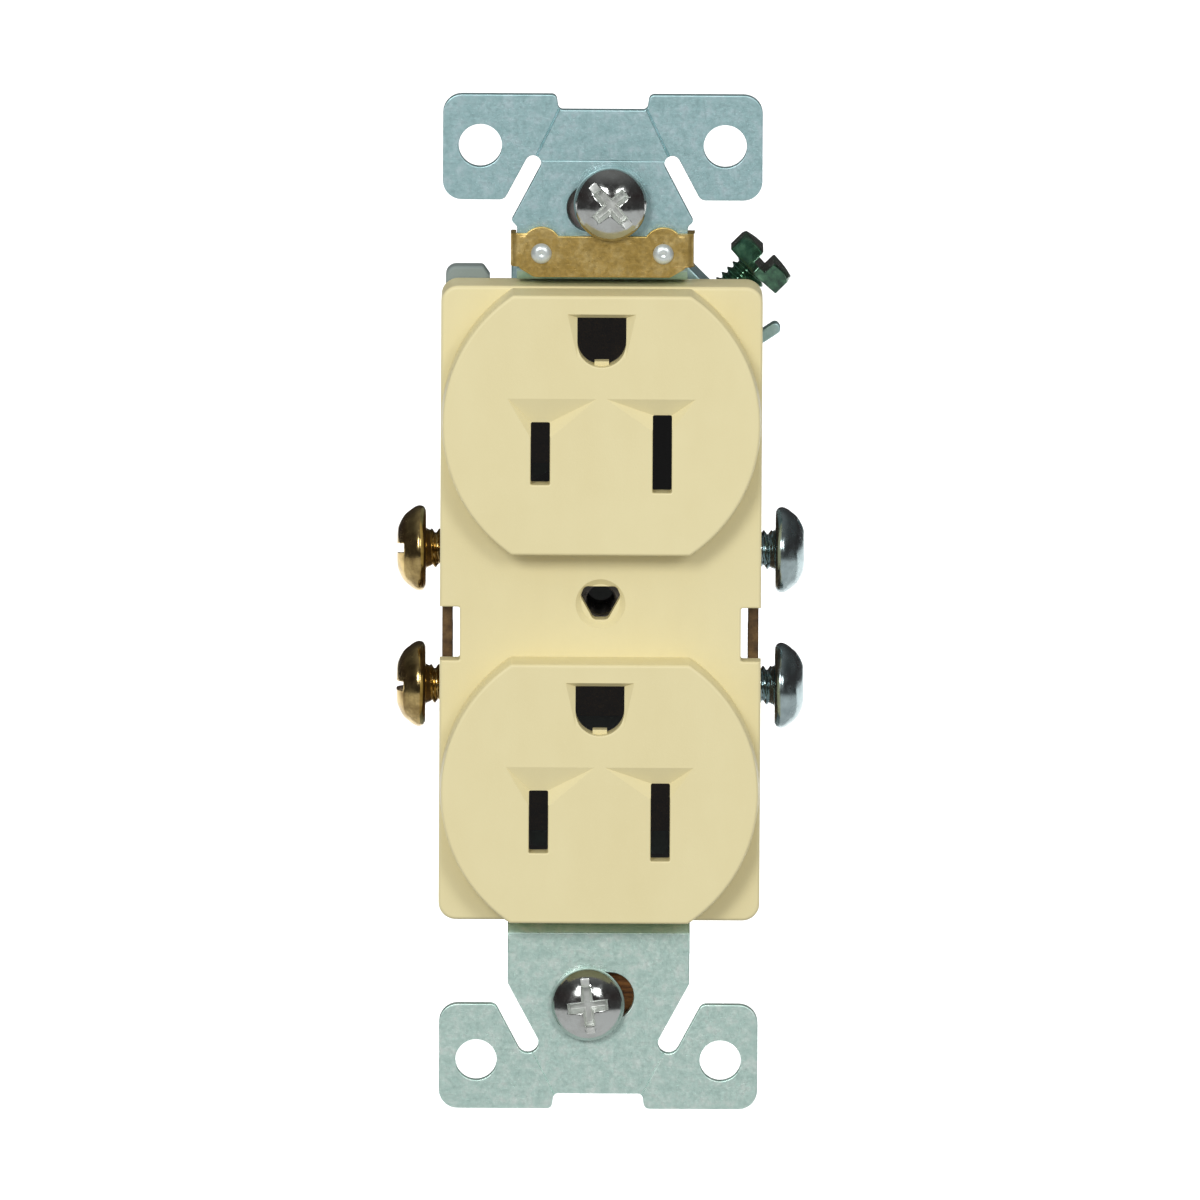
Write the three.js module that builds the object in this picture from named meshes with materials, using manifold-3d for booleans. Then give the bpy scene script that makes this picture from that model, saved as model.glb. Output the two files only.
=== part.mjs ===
// Duplex wall outlet (two NEMA 5-15 sockets on one mounting strap), in millimetres.
// +X is right, +Z is up, and the front faces -Y. The origin lies midway between the two mounting
// screws, in the rear plane of the strap's ears, which is the plane that meets the wall box.
// Two plastic shells, a front cover and a back body, close over the brass contact bars. A steel
// strap makes the ears at both ends and wraps round the back of the body.
import * as THREE from "three";
import { mergeVertices } from "three/addons/utils/BufferGeometryUtils.js";
import { ConvexGeometry } from "three/addons/geometries/ConvexGeometry.js";
import Module from "manifold-3d";

const wasm = await Module();
wasm.setup();

// ---- driving dimensions ----

const FACE_PITCH = 38.9; // between the centres of the two sockets
const MOUNTING_PITCH = 83.3; // between the two mounting holes
const GAP = 0.3; // between pieces that touch
const MOST = 60; // longer than any cut needs to be

const COVER = {
  width: 33.5,
  height: 67,
  corner: 1.5,
  front: -1.8,
  floor: 0.6,
  back: 3.7,
  wall: 1.85,
};
const FACE = { front: -6, radius: 16.55, half: 13.7, draft: 0.15, wall: 2.4 };
const INSULATOR = { front: -3.3, back: 0.3, slack: 0.25 };
const BLADE = { x: 6.35, z: -3, width: 2, shortHeight: 6.5, longHeight: 8.1 };
const FUNNEL = { top: 2.7, inner: 0.85, outer: 9.8, depth: 0.8, foot: -3.9 };
const PIN = { z: 8.75, width: 5.1, height: 5.15, ledgeWidth: 1.5, ledgeHeight: 0.5 };
const NOTCH = { low: -6.05, high: -0.4, depth: 2.1, relief: 1.8 };
const PLATE_HOLE = { width: 3.9, height: 3.5, flat: 0.9, sink: 2.5, sinkDepth: 0.5, boss: 4.6, bossBack: 10 };

const BODY = { front: 4, back: 19.5, side: 15.9, waist: 14.3, shoulder: 30.8, wall: 1.6 };
const FLANGE = { back: 6.2, end: 33 };
const PAD = { half: 8.6, end: 33.3 };
const WAIST = { low: -16.3, high: 10.3 };
const NUB = { left: -16.3, right: -11.6, top: 34.7, low: 27, corner: 1, slope: 0.7 };
const ASSEMBLY = { x: 12.3, z: 27.3, post: 3, hole: 1.55, sink: 2.6, sinkFloor: 17.5 };

const STRAP = { thick: 1.2, inner: 33.9, back: 19.9, half: 9.5, neck: 8.9, neckTop: 39.7, bend: 1 };
const EAR = {
  top: 53.6,
  low: 42.5,
  half: 16.65,
  corner: 2,
  bumpX: 9.5,
  bumpZ: 40.3,
  holeX: 12.75,
  notchHalf: 4.6,
  notchMouth: 4.85,
  notch: 1.6,
};
const SLIT_ANGLE = 62;
const UPPER_EAR = { slit: { x: 7.25, z: 46.35, radius: 0.82 }, holeZ: 48.2, hole: 2.25 };
const LOWER_EAR = { slit: { x: 7.35, z: 46.6, radius: 1.1 }, holeZ: 48.45, hole: 2.15 };
const SCORE = { width: 0.5, depth: 0.25 };
const OBROUND = { length: 7.4, height: 5 };
const TAB = {
  line: 43.6, // its inner face runs where x + z comes to this
  screw: 12.7,
  end: 16,
  lip: 3,
  lipAngle: 34,
  lipWide: 1.8,
  front: 4.5,
  back: 11.1,
};

const TERMINALS = {
  middle: -3.02,
  half: 7.18,
  y: 8.2,
  plateIn: 15.4,
  plateOut: 16.5,
  tapped: 2.2,
  clear: 2.5,
};
const BAR = { sheet: 0.8, front: 4.1, back: 12.4, top: 9, arm: 3.6, gap: 2.2 };
const FIN = { front: 0.9, lap: 0.6 };
const LEAF = { sheet: 0.6, front: 1.2, back: 11, half: 3.6, slack: 0.05 };
const LEG = { out: 1.5, width: 1.6, high: 2, low: -3 };
const GROUND = {
  half: 3.15,
  sheet: 0.8,
  drop: 13.1,
  flange: 0.3,
  shelf: 35.5,
  rise: 1.9, // from the rivets to the flange's upper edge
  leafHeight: 5.4,
  leafFront: 1.4,
};
const BRASS = { sheet: 0.6, front: -2.1, low: 34.5, high: 38.8, bump: 2.1, bumpRise: 0.7 };
const WING = { x: 8.95, low: 35.6, high: 39.1, slope: 1.8, bend: 0.5 };
const RIVET = { x: 6.35, z: 37, head: 1.08, high: 0.45, shank: 0.75, hole: 1 };

const WIRE_SCREW = { head: 4.45, headHigh: 3, shank: 2.05, long: 6.95, slot: 1.2, out: 1.75 };
const GROUND_SCREW = { head: 3.85, headHigh: 2.35, shank: 2.05, long: 8, slot: 1.6, out: 4.3, y: 7.8 };
const BOX_SCREW = { head: 3.85, headHigh: 2.5, shank: 1.72, long: 25.4, slot: 1.2 };
const CASE_SCREW = { head: 2.3, headHigh: 1.6, shank: 1.25, long: 16, slot: 0.7, under: 17.8 };
const WASHER = { width: 10, height: 7, hole: 1.95, thick: 0.8 };

// ---- solids and how they are joined ----

// A closed three.js geometry as a solid that can be joined and cut.
function solid(geometry) {
  const bare = geometry.clone();
  bare.deleteAttribute("normal");
  bare.deleteAttribute("uv");
  const merged = mergeVertices(bare, 1e-4);
  return new wasm.Manifold(
    new wasm.Mesh({
      numProp: 3,
      vertProperties: new Float32Array(merged.attributes.position.array),
      triVerts: new Uint32Array(merged.index.array),
    }),
  );
}

// A box between two corners.
function box(x0, x1, y0, y1, z0, z1) {
  const made = new THREE.BoxGeometry(x1 - x0, y1 - y0, z1 - z0);
  made.translate((x0 + x1) / 2, (y0 + y1) / 2, (z0 + z1) / 2);
  return solid(made);
}

// An outline drawn in X and Z, made solid from y0 back to y1.
function plate(outline, y0, y1, curveSegments = 12) {
  const made = new THREE.ExtrudeGeometry(outline, { depth: y1 - y0, bevelEnabled: false, curveSegments });
  made.rotateX(Math.PI / 2);
  made.translate(0, y1, 0);
  return solid(made);
}

// An outline drawn in Y and Z, made solid from x0 to x1.
function slice(outline, x0, x1, curveSegments = 8) {
  const made = new THREE.ExtrudeGeometry(outline, { depth: x1 - x0, bevelEnabled: false, curveSegments });
  made.applyMatrix4(new THREE.Matrix4().set(0, 0, 1, x0, 1, 0, 0, 0, 0, 1, 0, 0, 0, 0, 0, 1));
  return solid(made);
}

// A round bar along Y about (x, z), from y0 back to y1.
function pin(x, z, radius, y0, y1, sides = 24, frontRadius = radius) {
  const made = new THREE.CylinderGeometry(radius, frontRadius, y1 - y0, sides);
  made.translate(x, (y0 + y1) / 2, z);
  return solid(made);
}

// A round bar along a line, centred on a point.
function rod(centre, direction, radius, length, sides = 24) {
  const made = new THREE.CylinderGeometry(radius, radius, length, sides);
  const way = direction.clone().normalize();
  const turn = new THREE.Quaternion().setFromUnitVectors(new THREE.Vector3(0, 1, 0), way);
  made.applyQuaternion(turn);
  made.translate(centre.x, centre.y, centre.z);
  return solid(made);
}

// A closed outline through points, each an [across, up] pair.
function polygon(points) {
  return new THREE.Shape(points.map(([across, up]) => new THREE.Vector2(across, up)));
}

// A rectangle about a centre with its corners rounded.
function roundedRectangle(x, z, width, height, radius) {
  const shape = new THREE.Shape();
  const right = x + width / 2 - radius;
  const top = z + height / 2 - radius;
  const left = x - width / 2 + radius;
  const low = z - height / 2 + radius;
  shape.absarc(right, top, radius, 0, Math.PI / 2);
  shape.absarc(left, top, radius, Math.PI / 2, Math.PI);
  shape.absarc(left, low, radius, Math.PI, 1.5 * Math.PI);
  shape.absarc(right, low, radius, 1.5 * Math.PI, 2 * Math.PI);
  return shape;
}

// The outline of sheet metal bent along a line of points, with the sheet's thickness.
function bentSheet(points, thickness) {
  const line = points.map(([across, up]) => new THREE.Vector2(across, up));
  const leftSide = [];
  const rightSide = [];
  line.forEach((point, i) => {
    const before = point.clone().sub(line[Math.max(i - 1, 0)]).normalize();
    const after = line[Math.min(i + 1, line.length - 1)].clone().sub(point).normalize();
    const along = before.clone().add(after).normalize();
    const ends = i === 0 || i === line.length - 1;
    const stretch = ends ? 1 : 1 / along.dot(after);
    const aside = new THREE.Vector2(-along.y, along.x).multiplyScalar((stretch * thickness) / 2);
    leftSide.push(point.clone().add(aside));
    rightSide.push(point.clone().sub(aside));
  });
  return new THREE.Shape([...rightSide, ...leftSide.reverse()]);
}

// Points of a line with each inner corner cut to an arc.
function roundCorners(points, radius, steps = 4) {
  const path = new THREE.Path();
  path.moveTo(...points[0]);
  for (let i = 1; i < points.length - 1; i++) {
    const corner = new THREE.Vector2(...points[i]);
    const towards = new THREE.Vector2(...points[i - 1]).sub(corner).setLength(radius).add(corner);
    const away = new THREE.Vector2(...points[i + 1]).sub(corner).setLength(radius).add(corner);
    path.lineTo(towards.x, towards.y);
    path.quadraticCurveTo(corner.x, corner.y, away.x, away.y);
  }
  path.lineTo(...points.at(-1));
  return path.getPoints(steps).map((point) => [point.x, point.y]);
}

function joined(...solids) {
  return solids.reduce((all, next) => all.add(next));
}

function mirroredX(piece) {
  return piece.mirror([1, 0, 0]);
}

// ---- the pieces' materials ----

function material(color, roughness, metalness) {
  return new THREE.MeshStandardMaterial({ color, roughness, metalness });
}

const ivory = material(0xe4daa9, 0.45, 0);
const greyPlastic = material(0x8f9c98, 0.5, 0);
const blackPlastic = material(0x1c1c1c, 0.6, 0);
const zincSteel = material(0xb4c4c0, 0.4, 0.9);
const brass = material(0xa08550, 0.4, 0.9);
const brightSteel = material(0xd2d8dc, 0.25, 1);
const brassScrew = material(0x9f8d6b, 0.3, 1);
const greenScrew = material(0x2c4a38, 0.35, 0.8);
const fibre = material(0x6d4a26, 0.8, 0);
const darkSteel = material(0x5a5654, 0.4, 0.9);

const outlet = new THREE.Group();

// A named mesh made from a solid, added to a group.
function addNode(name, piece, look, parent = outlet) {
  const cut = piece.getMesh();
  const geometry = new THREE.BufferGeometry();
  geometry.setAttribute("position", new THREE.BufferAttribute(cut.vertProperties, 3));
  geometry.setIndex(new THREE.BufferAttribute(cut.triVerts, 1));
  geometry.computeVertexNormals();
  const mesh = new THREE.Mesh(geometry, look);
  mesh.name = name;
  parent.add(mesh);
  return mesh;
}

// ---- front cover ----

const SOCKETS = [FACE_PITCH / 2, -FACE_PITCH / 2];

// A raised socket face: a drafted disc cut flat above and below.
function raisedFace(z) {
  const deep = COVER.front - FACE.front;
  const base = FACE.radius + FACE.draft;
  const disc = pin(0, z, base, FACE.front, COVER.front + 1, 64, FACE.radius);
  const high = FACE.half + (FACE.draft * (deep + 1)) / deep;
  const flats = slice(
    polygon([
      [FACE.front, z - FACE.half],
      [COVER.front + 1, z - high],
      [COVER.front + 1, z + high],
      [FACE.front, z + FACE.half],
    ]),
    -base,
    base,
  );
  return disc.intersect(flats);
}

// The lead-in above a blade slot, which slopes from a wide top edge to the slot.
function bladeFunnel(x, z, slotTop) {
  const half = BLADE.width / 2;
  const side = Math.sign(x);
  const points = [
    [side * FUNNEL.inner, FACE.front, z + FUNNEL.top],
    [side * FUNNEL.outer, FACE.front, z + FUNNEL.top],
    [x - half, FACE.front + FUNNEL.depth, z + slotTop],
    [x + half, FACE.front + FUNNEL.depth, z + slotTop],
    [x - half, FACE.front, z + FUNNEL.foot],
    [x + half, FACE.front, z + FUNNEL.foot],
  ];
  const proud = points.map(([px, , pz]) => [px, FACE.front - 1, pz]);
  return solid(new ConvexGeometry([...points, ...proud].map((point) => new THREE.Vector3(...point))));
}

// The hole for the round or U-shaped ground pin: flat above and round below.
function pinHole(z) {
  const half = PIN.width / 2;
  const shape = new THREE.Shape();
  shape.moveTo(-half, z + PIN.height / 2);
  shape.lineTo(-half, z - PIN.height / 2 + half);
  shape.absarc(0, z - PIN.height / 2 + half, half, Math.PI, 2 * Math.PI);
  shape.lineTo(half, z + PIN.height / 2);
  return shape;
}

// A socket face's outline, drawn inwards from its front edge by a margin.
function faceOutline(z, margin) {
  const radius = FACE.radius - margin;
  const half = FACE.half - margin;
  const angle = Math.asin(half / radius);
  const shape = new THREE.Shape();
  shape.absarc(0, z, radius, -angle, angle);
  shape.absarc(0, z, radius, Math.PI - angle, Math.PI + angle);
  return shape;
}

// What is cut from the cover for one socket, with the hollow behind its face.
function socketCuts(z) {
  const back = COVER.floor + 1;
  const cuts = [
    [-BLADE.x, BLADE.shortHeight],
    [BLADE.x, BLADE.longHeight],
  ].map(([x, height]) => {
    const low = z + BLADE.z - height / 2;
    const slot = box(x - BLADE.width / 2, x + BLADE.width / 2, FACE.front - 1, back, low, low + height);
    return slot.add(bladeFunnel(x, z, BLADE.z + height / 2));
  });
  const hole = plate(pinHole(z + PIN.z), FACE.front - 1, back);
  const sill = z + PIN.z - PIN.height / 2;
  const ledgeHalf = PIN.ledgeWidth / 2;
  const ledge = box(-ledgeHalf, ledgeHalf, FACE.front + 1, back, sill - 1, sill + PIN.ledgeHeight);
  const hollow = plate(faceOutline(z, FACE.wall), FACE.front + FACE.wall, back);
  return joined(...cuts, hole.subtract(ledge), hollow);
}

// The hole for the wall plate's screw, three-cornered so that it grips the thread.
function plateScrewHole() {
  const across = PLATE_HOLE.width / 2;
  const up = PLATE_HOLE.height / 2;
  const flat = PLATE_HOLE.flat;
  const shape = polygon([
    [-flat / 2, -up],
    [flat / 2, -up],
    [across, up - 1.2 * flat],
    [across - flat / 2, up],
    [flat / 2 - across, up],
    [-across, up - 1.2 * flat],
  ]);
  const sinkFloor = COVER.front + PLATE_HOLE.sinkDepth;
  const sink = pin(0, 0, across, COVER.front - GAP, sinkFloor, 36, PLATE_HOLE.sink + GAP);
  return plate(shape, COVER.front - 1, COVER.floor + 1).add(sink);
}

// The notch in one side that shows the break-off fin, with more room behind the cover's front.
function sideNotch(side) {
  const inner = side * (COVER.width / 2 - NOTCH.depth);
  const left = Math.min(inner, side * MOST);
  const right = Math.max(inner, side * MOST);
  const notch = box(left, right, COVER.front - 1, COVER.back + 1, NOTCH.low, NOTCH.high);
  const { relief } = NOTCH;
  return notch.add(box(left, right, COVER.floor, COVER.back + 1, NOTCH.low - relief, NOTCH.high + relief));
}

function frontCover() {
  const outline = roundedRectangle(0, 0, COVER.width, COVER.height, COVER.corner);
  const room = roundedRectangle(
    0,
    0,
    COVER.width - 2 * COVER.wall,
    COVER.height - 2 * COVER.wall,
    COVER.corner,
  );
  const bosses = [-1, 1].map((side) =>
    pin(side * ASSEMBLY.x, -side * ASSEMBLY.z, ASSEMBLY.post - GAP, COVER.floor - GAP, COVER.back),
  );
  const middleBoss = pin(0, 0, PLATE_HOLE.boss, COVER.floor - GAP, PLATE_HOLE.bossBack);
  const shell = joined(
    plate(outline, COVER.front, COVER.back).subtract(plate(room, COVER.floor, COVER.back + 1)),
    ...SOCKETS.map(raisedFace),
    ...bosses,
    middleBoss,
  );
  const notches = [-1, 1].map(sideNotch);
  const screwHoles = [-1, 1].map((side) =>
    pin(side * ASSEMBLY.x, -side * ASSEMBLY.z, ASSEMBLY.hole, COVER.floor + 0.6, COVER.back + 1),
  );
  const bushRoom = pin(0, 0, PLATE_HOLE.boss - 1.3, COVER.floor, PLATE_HOLE.bossBack + 1);
  const cuts = joined(...notches, ...screwHoles, ...SOCKETS.map(socketCuts), plateScrewHole(), bushRoom);
  return shell.subtract(cuts);
}

addNode("front_cover", frontCover(), ivory);

// ---- inner insulators: one behind each socket face, with windows in line with its holes ----

function innerInsulator(z) {
  const { front, back, slack } = INSULATOR;
  const disc = plate(faceOutline(z, FACE.wall + GAP), front, back);
  const windows = [
    [-BLADE.x, BLADE.shortHeight],
    [BLADE.x, BLADE.longHeight],
  ].map(([x, height]) => {
    const half = BLADE.width / 2 + slack;
    const low = z + BLADE.z - height / 2 - slack;
    return box(x - half, x + half, front - 1, back + 1, low, low + height + 2 * slack);
  });
  const reach = PIN.width / 2 + slack;
  const middle = z + PIN.z;
  const high = middle + PIN.height / 2 + slack;
  const pinWay = pin(0, middle - slack, reach, front - 1, back + 1);
  const blades = box(-reach, reach, front - 1, back + 1, middle - slack, high);
  return disc.subtract(joined(...windows, pinWay, blades));
}

SOCKETS.forEach((z, i) => {
  addNode(`inner_insulator_${i ? "lower" : "upper"}`, innerInsulator(z), blackPlastic);
});

// ---- back body ----

// The window, from a height upwards, that lets the ground contact bar down into the body.
function barWindow(low) {
  const half = GROUND.half + 0.4;
  return box(-half, half, GROUND.drop - 0.5, GROUND.drop + GROUND.sheet + 0.5, low, MOST);
}

// The body's outline in X and Z with its ends at a given height, drawn inwards by a margin. One
// corner is cut along the ground tab.
function bodyOutline(highEnd, margin) {
  const side = BODY.side - margin;
  const waist = BODY.waist - margin;
  const end = highEnd - margin;
  const cornerLine = TAB.line - Math.SQRT2 * (STRAP.thick + GAP + margin);
  return polygon([
    [-side, -end],
    [side, -end],
    [side, WAIST.low - margin],
    [waist, WAIST.low - margin],
    [waist, WAIST.high + margin],
    [side, WAIST.high + margin],
    [side, cornerLine - side],
    [cornerLine - end, end],
    [-side, end],
    [-side, WAIST.high + margin],
    [-waist, WAIST.high + margin],
    [-waist, WAIST.low - margin],
    [-side, WAIST.low - margin],
  ]);
}

// The pads at both ends, under the strap, drawn inwards by a margin.
function bodyPads(margin, y0, y1) {
  const half = PAD.half - margin;
  const end = PAD.end - margin;
  return box(-half, half, y0, y1, -end, end);
}

// The raised corner beside the top of the strap.
function bodyNub() {
  const { left, right, top, low, corner, slope } = NUB;
  const shape = polygon([
    [left, low],
    [right, low],
    [right, top - corner],
    [right - slope, top],
    [left + corner, top],
    [left, top - corner],
  ]);
  return plate(shape, BODY.front, FLANGE.back);
}

// The axis of the ground screw: where it meets the tab, and the way that it points out.
const groundAxis = {
  foot: new THREE.Vector3(TAB.screw, GROUND_SCREW.y, TAB.line - TAB.screw),
  out: new THREE.Vector3(Math.SQRT1_2, 0, Math.SQRT1_2),
};

const TERMINAL_HEIGHTS = [1, -1].map((side) => TERMINALS.middle + side * TERMINALS.half);

function backBody() {
  const solidBody = joined(
    plate(bodyOutline(BODY.shoulder, 0), BODY.front, BODY.back),
    plate(bodyOutline(FLANGE.end, 0), BODY.front, FLANGE.back),
    bodyPads(0, BODY.front, BODY.back),
    bodyNub(),
  );
  const floor = BODY.back - BODY.wall;
  const hollow = plate(bodyOutline(BODY.shoulder, BODY.wall), BODY.front - 1, floor);
  const shell = solidBody.subtract(hollow.add(bodyPads(BODY.wall, BODY.front - 1, floor)));
  const posts = [-1, 1].map((side) =>
    pin(side * ASSEMBLY.x, -side * ASSEMBLY.z, ASSEMBLY.post, BODY.front, BODY.back - GAP),
  );
  const screwWays = [-1, 1].map((side) => {
    const x = side * ASSEMBLY.x;
    const z = -side * ASSEMBLY.z;
    const way = pin(x, z, ASSEMBLY.hole, BODY.front - 1, BODY.back + 1);
    return way.add(pin(x, z, ASSEMBLY.sink, ASSEMBLY.sinkFloor, BODY.back + 1));
  });
  const terminalWays = TERMINAL_HEIGHTS.map((z) =>
    rod(new THREE.Vector3(0, TERMINALS.y, z), new THREE.Vector3(1, 0, 0), TERMINALS.clear, 4 * BODY.side),
  );
  const armWays = [1, -1].map((side) => {
    const near = TERMINALS.middle + side * (BAR.top - TERMINALS.middle + GAP + 0.1);
    const far = TERMINALS.middle + side * (BAR.top - TERMINALS.middle - 4.2);
    const back = BAR.front + BAR.sheet + GAP;
    return box(-MOST, MOST, BODY.front - 1, back, Math.min(near, far), Math.max(near, far));
  });
  const groundWay = rod(groundAxis.foot, groundAxis.out, GROUND_SCREW.shank + 0.5, 2 * GROUND_SCREW.long);
  const cuts = joined(...screwWays, ...terminalWays, ...armWays, groundWay, barWindow(BODY.shoulder - 3));
  return shell.add(joined(...posts)).subtract(cuts);
}

addNode("back_body", backBody(), greyPlastic);

// ---- mounting strap ----

// One end's ear and neck, drawn for the upper end. A slit with a round end parts the neck from
// the ear on each side.
function earOutline(neck, slit) {
  const { top, low, half, corner, bumpX, bumpZ, notchHalf, notchMouth, notch } = EAR;
  const angle = THREE.MathUtils.degToRad(SLIT_ANGLE);
  const slope = Math.tan(angle);
  const reach = slit.radius / Math.cos(angle);
  const across = (z) => slit.x + (slit.z - z) / slope;
  const earSide = across(low) + (reach / slope);
  const shape = new THREE.Shape();
  shape.moveTo(neck, STRAP.inner + STRAP.bend);
  if (neck < bumpX) {
    shape.lineTo(neck, STRAP.neckTop);
  }
  shape.lineTo(bumpX, bumpZ);
  shape.absarc(slit.x, slit.z, slit.radius, 1.5 * Math.PI - angle, Math.PI / 2 - angle, true);
  shape.lineTo(earSide, low);
  shape.absarc(half - corner, low + corner, corner, -Math.PI / 2, 0);
  shape.absarc(half - corner, top - corner, corner, 0, Math.PI / 2);
  shape.lineTo(notchMouth, top);
  shape.lineTo(notchHalf, top - notch);
  const right = shape.getPoints(6);
  const left = right.map((point) => new THREE.Vector2(-point.x, point.y)).reverse();
  return new THREE.Shape([...right, ...left]);
}

// What is cut from one ear: the holes, and the score lines that let each corner be snapped off.
function earCuts({ slit, holeZ, hole }) {
  const front = -STRAP.thick - 1;
  const holes = [-1, 1].map((side) => pin(side * EAR.holeX, holeZ, hole, front, 1));
  const scores = [-1, 1].map((side) => scoreLine(side, slit));
  const mountingHole = roundedRectangle(
    0,
    MOUNTING_PITCH / 2,
    OBROUND.length,
    OBROUND.height,
    OBROUND.height / 2 - 0.01,
  );
  return joined(...holes, ...scores, plate(mountingHole, front, 1));
}

// The grooves, front and rear, from a slit's end up to the corner of the notch.
function scoreLine(side, slit) {
  const low = [side * slit.x, slit.z];
  const high = [side * (EAR.notchHalf - SCORE.width), EAR.top - EAR.notch + 0.5];
  const line = bentSheet([low, high], SCORE.width);
  const rear = plate(line, -SCORE.depth, 1);
  return rear.add(plate(line, -STRAP.thick - 1, -STRAP.thick + SCORE.depth));
}

// One ear and its neck, drawn for the upper end.
function earPlate(neck, ear) {
  return plate(earOutline(neck, ear.slit), -STRAP.thick, 0, 6).subtract(earCuts(ear));
}

// The strap's run round the device, seen from the side: neck, end, back, end and neck.
function wrapOutline() {
  const half = STRAP.thick / 2;
  const end = STRAP.inner + half;
  const foot = STRAP.inner + 3;
  const route = [
    [-half, foot],
    [-half, end],
    [STRAP.back + half, end],
    [STRAP.back + half, -end],
    [-half, -end],
    [-half, -foot],
  ];
  return bentSheet(roundCorners(route, STRAP.bend), STRAP.thick);
}

// The ground terminal: a tab bent down from the strap's top end, with a lip for the wire.
function groundTab() {
  const middle = STRAP.inner + STRAP.thick / 2;
  const line = TAB.line - STRAP.thick * Math.SQRT1_2;
  const lipAngle = THREE.MathUtils.degToRad(TAB.lipAngle);
  const route = [
    [STRAP.neck - 3, middle],
    [line - middle, middle],
    [TAB.end, line - TAB.end],
    [TAB.end + TAB.lip * Math.cos(lipAngle), line - TAB.end + TAB.lip * Math.sin(lipAngle)],
  ];
  const tab = plate(bentSheet(route, STRAP.thick), TAB.front, TAB.back);
  const tapped = rod(groundAxis.foot, groundAxis.out, TERMINALS.tapped, 4 * STRAP.thick);
  const behindLip = box(TAB.end, MOST, TAB.front + TAB.lipWide, MOST, 0, MOST);
  return tab.subtract(tapped.add(behindLip));
}

function mountingStrap() {
  const upper = earPlate(STRAP.neck, UPPER_EAR);
  const lower = earPlate(STRAP.half, LOWER_EAR);
  const rivetHoles = [-1, 1].map((side) => pin(side * RIVET.x, RIVET.z, RIVET.hole, -MOST, 1, 16));
  const wrap = slice(wrapOutline(), -STRAP.half, STRAP.half, 6);
  // The upper end is as narrow as the upper neck.
  const narrowing = [-1, 1].map((side) => {
    const inner = side * STRAP.neck;
    const outer = side * (STRAP.half + 1);
    const left = Math.min(inner, outer);
    const right = Math.max(inner, outer);
    return box(left, right, -MOST, STRAP.back - STRAP.bend, STRAP.inner - 1, STRAP.neckTop);
  });
  const strip = wrap.subtract(joined(...narrowing, barWindow(0)));
  return joined(strip, upper, lower.mirror([0, 0, 1]), groundTab()).subtract(joined(...rivetHoles));
}

addNode("mounting_strap", mountingStrap(), zincSteel);

// ---- brass grounding plate, ground contact bar and the two rivets that hold them ----

function groundingPlate() {
  const { sheet, front, low, high, bump, bumpRise } = BRASS;
  const outline = polygon([
    [-STRAP.neck + WING.slope, low],
    [STRAP.neck - WING.slope, low],
    [STRAP.neck, WING.low],
    [STRAP.neck, high],
    [-STRAP.neck, high],
    [-STRAP.neck, WING.low],
  ]);
  const bumps = [-1, 1].map((side) => pin(side * RIVET.x, RIVET.z + bumpRise, bump, front, front + sheet, 32));
  const face = plate(outline, front, front + sheet).add(joined(...bumps));
  const wings = [-1, 1].map((side) => {
    const route = [
      [side * (STRAP.neck - 1), front + sheet / 2],
      [side * (WING.x + sheet / 2), front + sheet / 2],
      [side * (WING.x + sheet / 2), STRAP.thick / 2],
    ];
    const bend = new THREE.ExtrudeGeometry(bentSheet(roundCorners(route, WING.bend), sheet), {
      depth: WING.high - WING.low,
      bevelEnabled: false,
    });
    bend.translate(0, 0, WING.low);
    return solid(bend);
  });
  const holes = [-1, 1].map((side) => pin(side * RIVET.x, RIVET.z, RIVET.hole, front - 1, 1, 16));
  return face.add(joined(...wings)).subtract(joined(...holes));
}

addNode("grounding_plate", groundingPlate(), brass);

// The bar behind the neck, which drops through the strap's end and carries a contact for
// each socket's ground pin.
function groundContactBar() {
  const { half, sheet, drop, flange, shelf, rise, leafHeight, leafFront } = GROUND;
  const back = drop + sheet;
  const low = SOCKETS[1] + PIN.z - leafHeight / 2 - 1;
  const edge = STRAP.neck - GAP;
  const shoulder = RIVET.z + rise;
  const middle = shoulder - 0.6; // clear of the retaining washer above it
  const washerEdge = WASHER.width / 2 + 0.2;
  const flangeOutline = polygon([
    [-edge, shelf],
    [edge, shelf],
    [edge, shoulder],
    [washerEdge, shoulder],
    [washerEdge, middle],
    [-washerEdge, middle],
    [-washerEdge, shoulder],
    [-edge, shoulder],
  ]);
  const holes = [-1, 1].map((side) => pin(side * RIVET.x, RIVET.z, RIVET.hole, flange - 1, flange + 2, 16));
  const route = [
    [flange + sheet / 2, shelf + 2],
    [flange + sheet / 2, shelf + sheet / 2],
    [drop + sheet / 2, shelf + sheet / 2],
    [drop + sheet / 2, low],
  ];
  const bar = slice(bentSheet(route, sheet), -half, half);
  const leaves = SOCKETS.flatMap((z) =>
    [-1, 1].map((side) => {
      const inner = side * (half - LEAF.sheet);
      const outer = side * half;
      const middleZ = z + PIN.z;
      return box(
        Math.min(inner, outer),
        Math.max(inner, outer),
        leafFront,
        back,
        middleZ - leafHeight / 2,
        middleZ + leafHeight / 2,
      );
    }),
  );
  const flangePlate = plate(flangeOutline, flange, flange + sheet).subtract(joined(...holes));
  return joined(flangePlate, bar, ...leaves).subtract(pin(0, 0, 2.2, drop - 1, back + 1, 24));
}

addNode("ground_contact_bar", groundContactBar(), brass);

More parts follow.
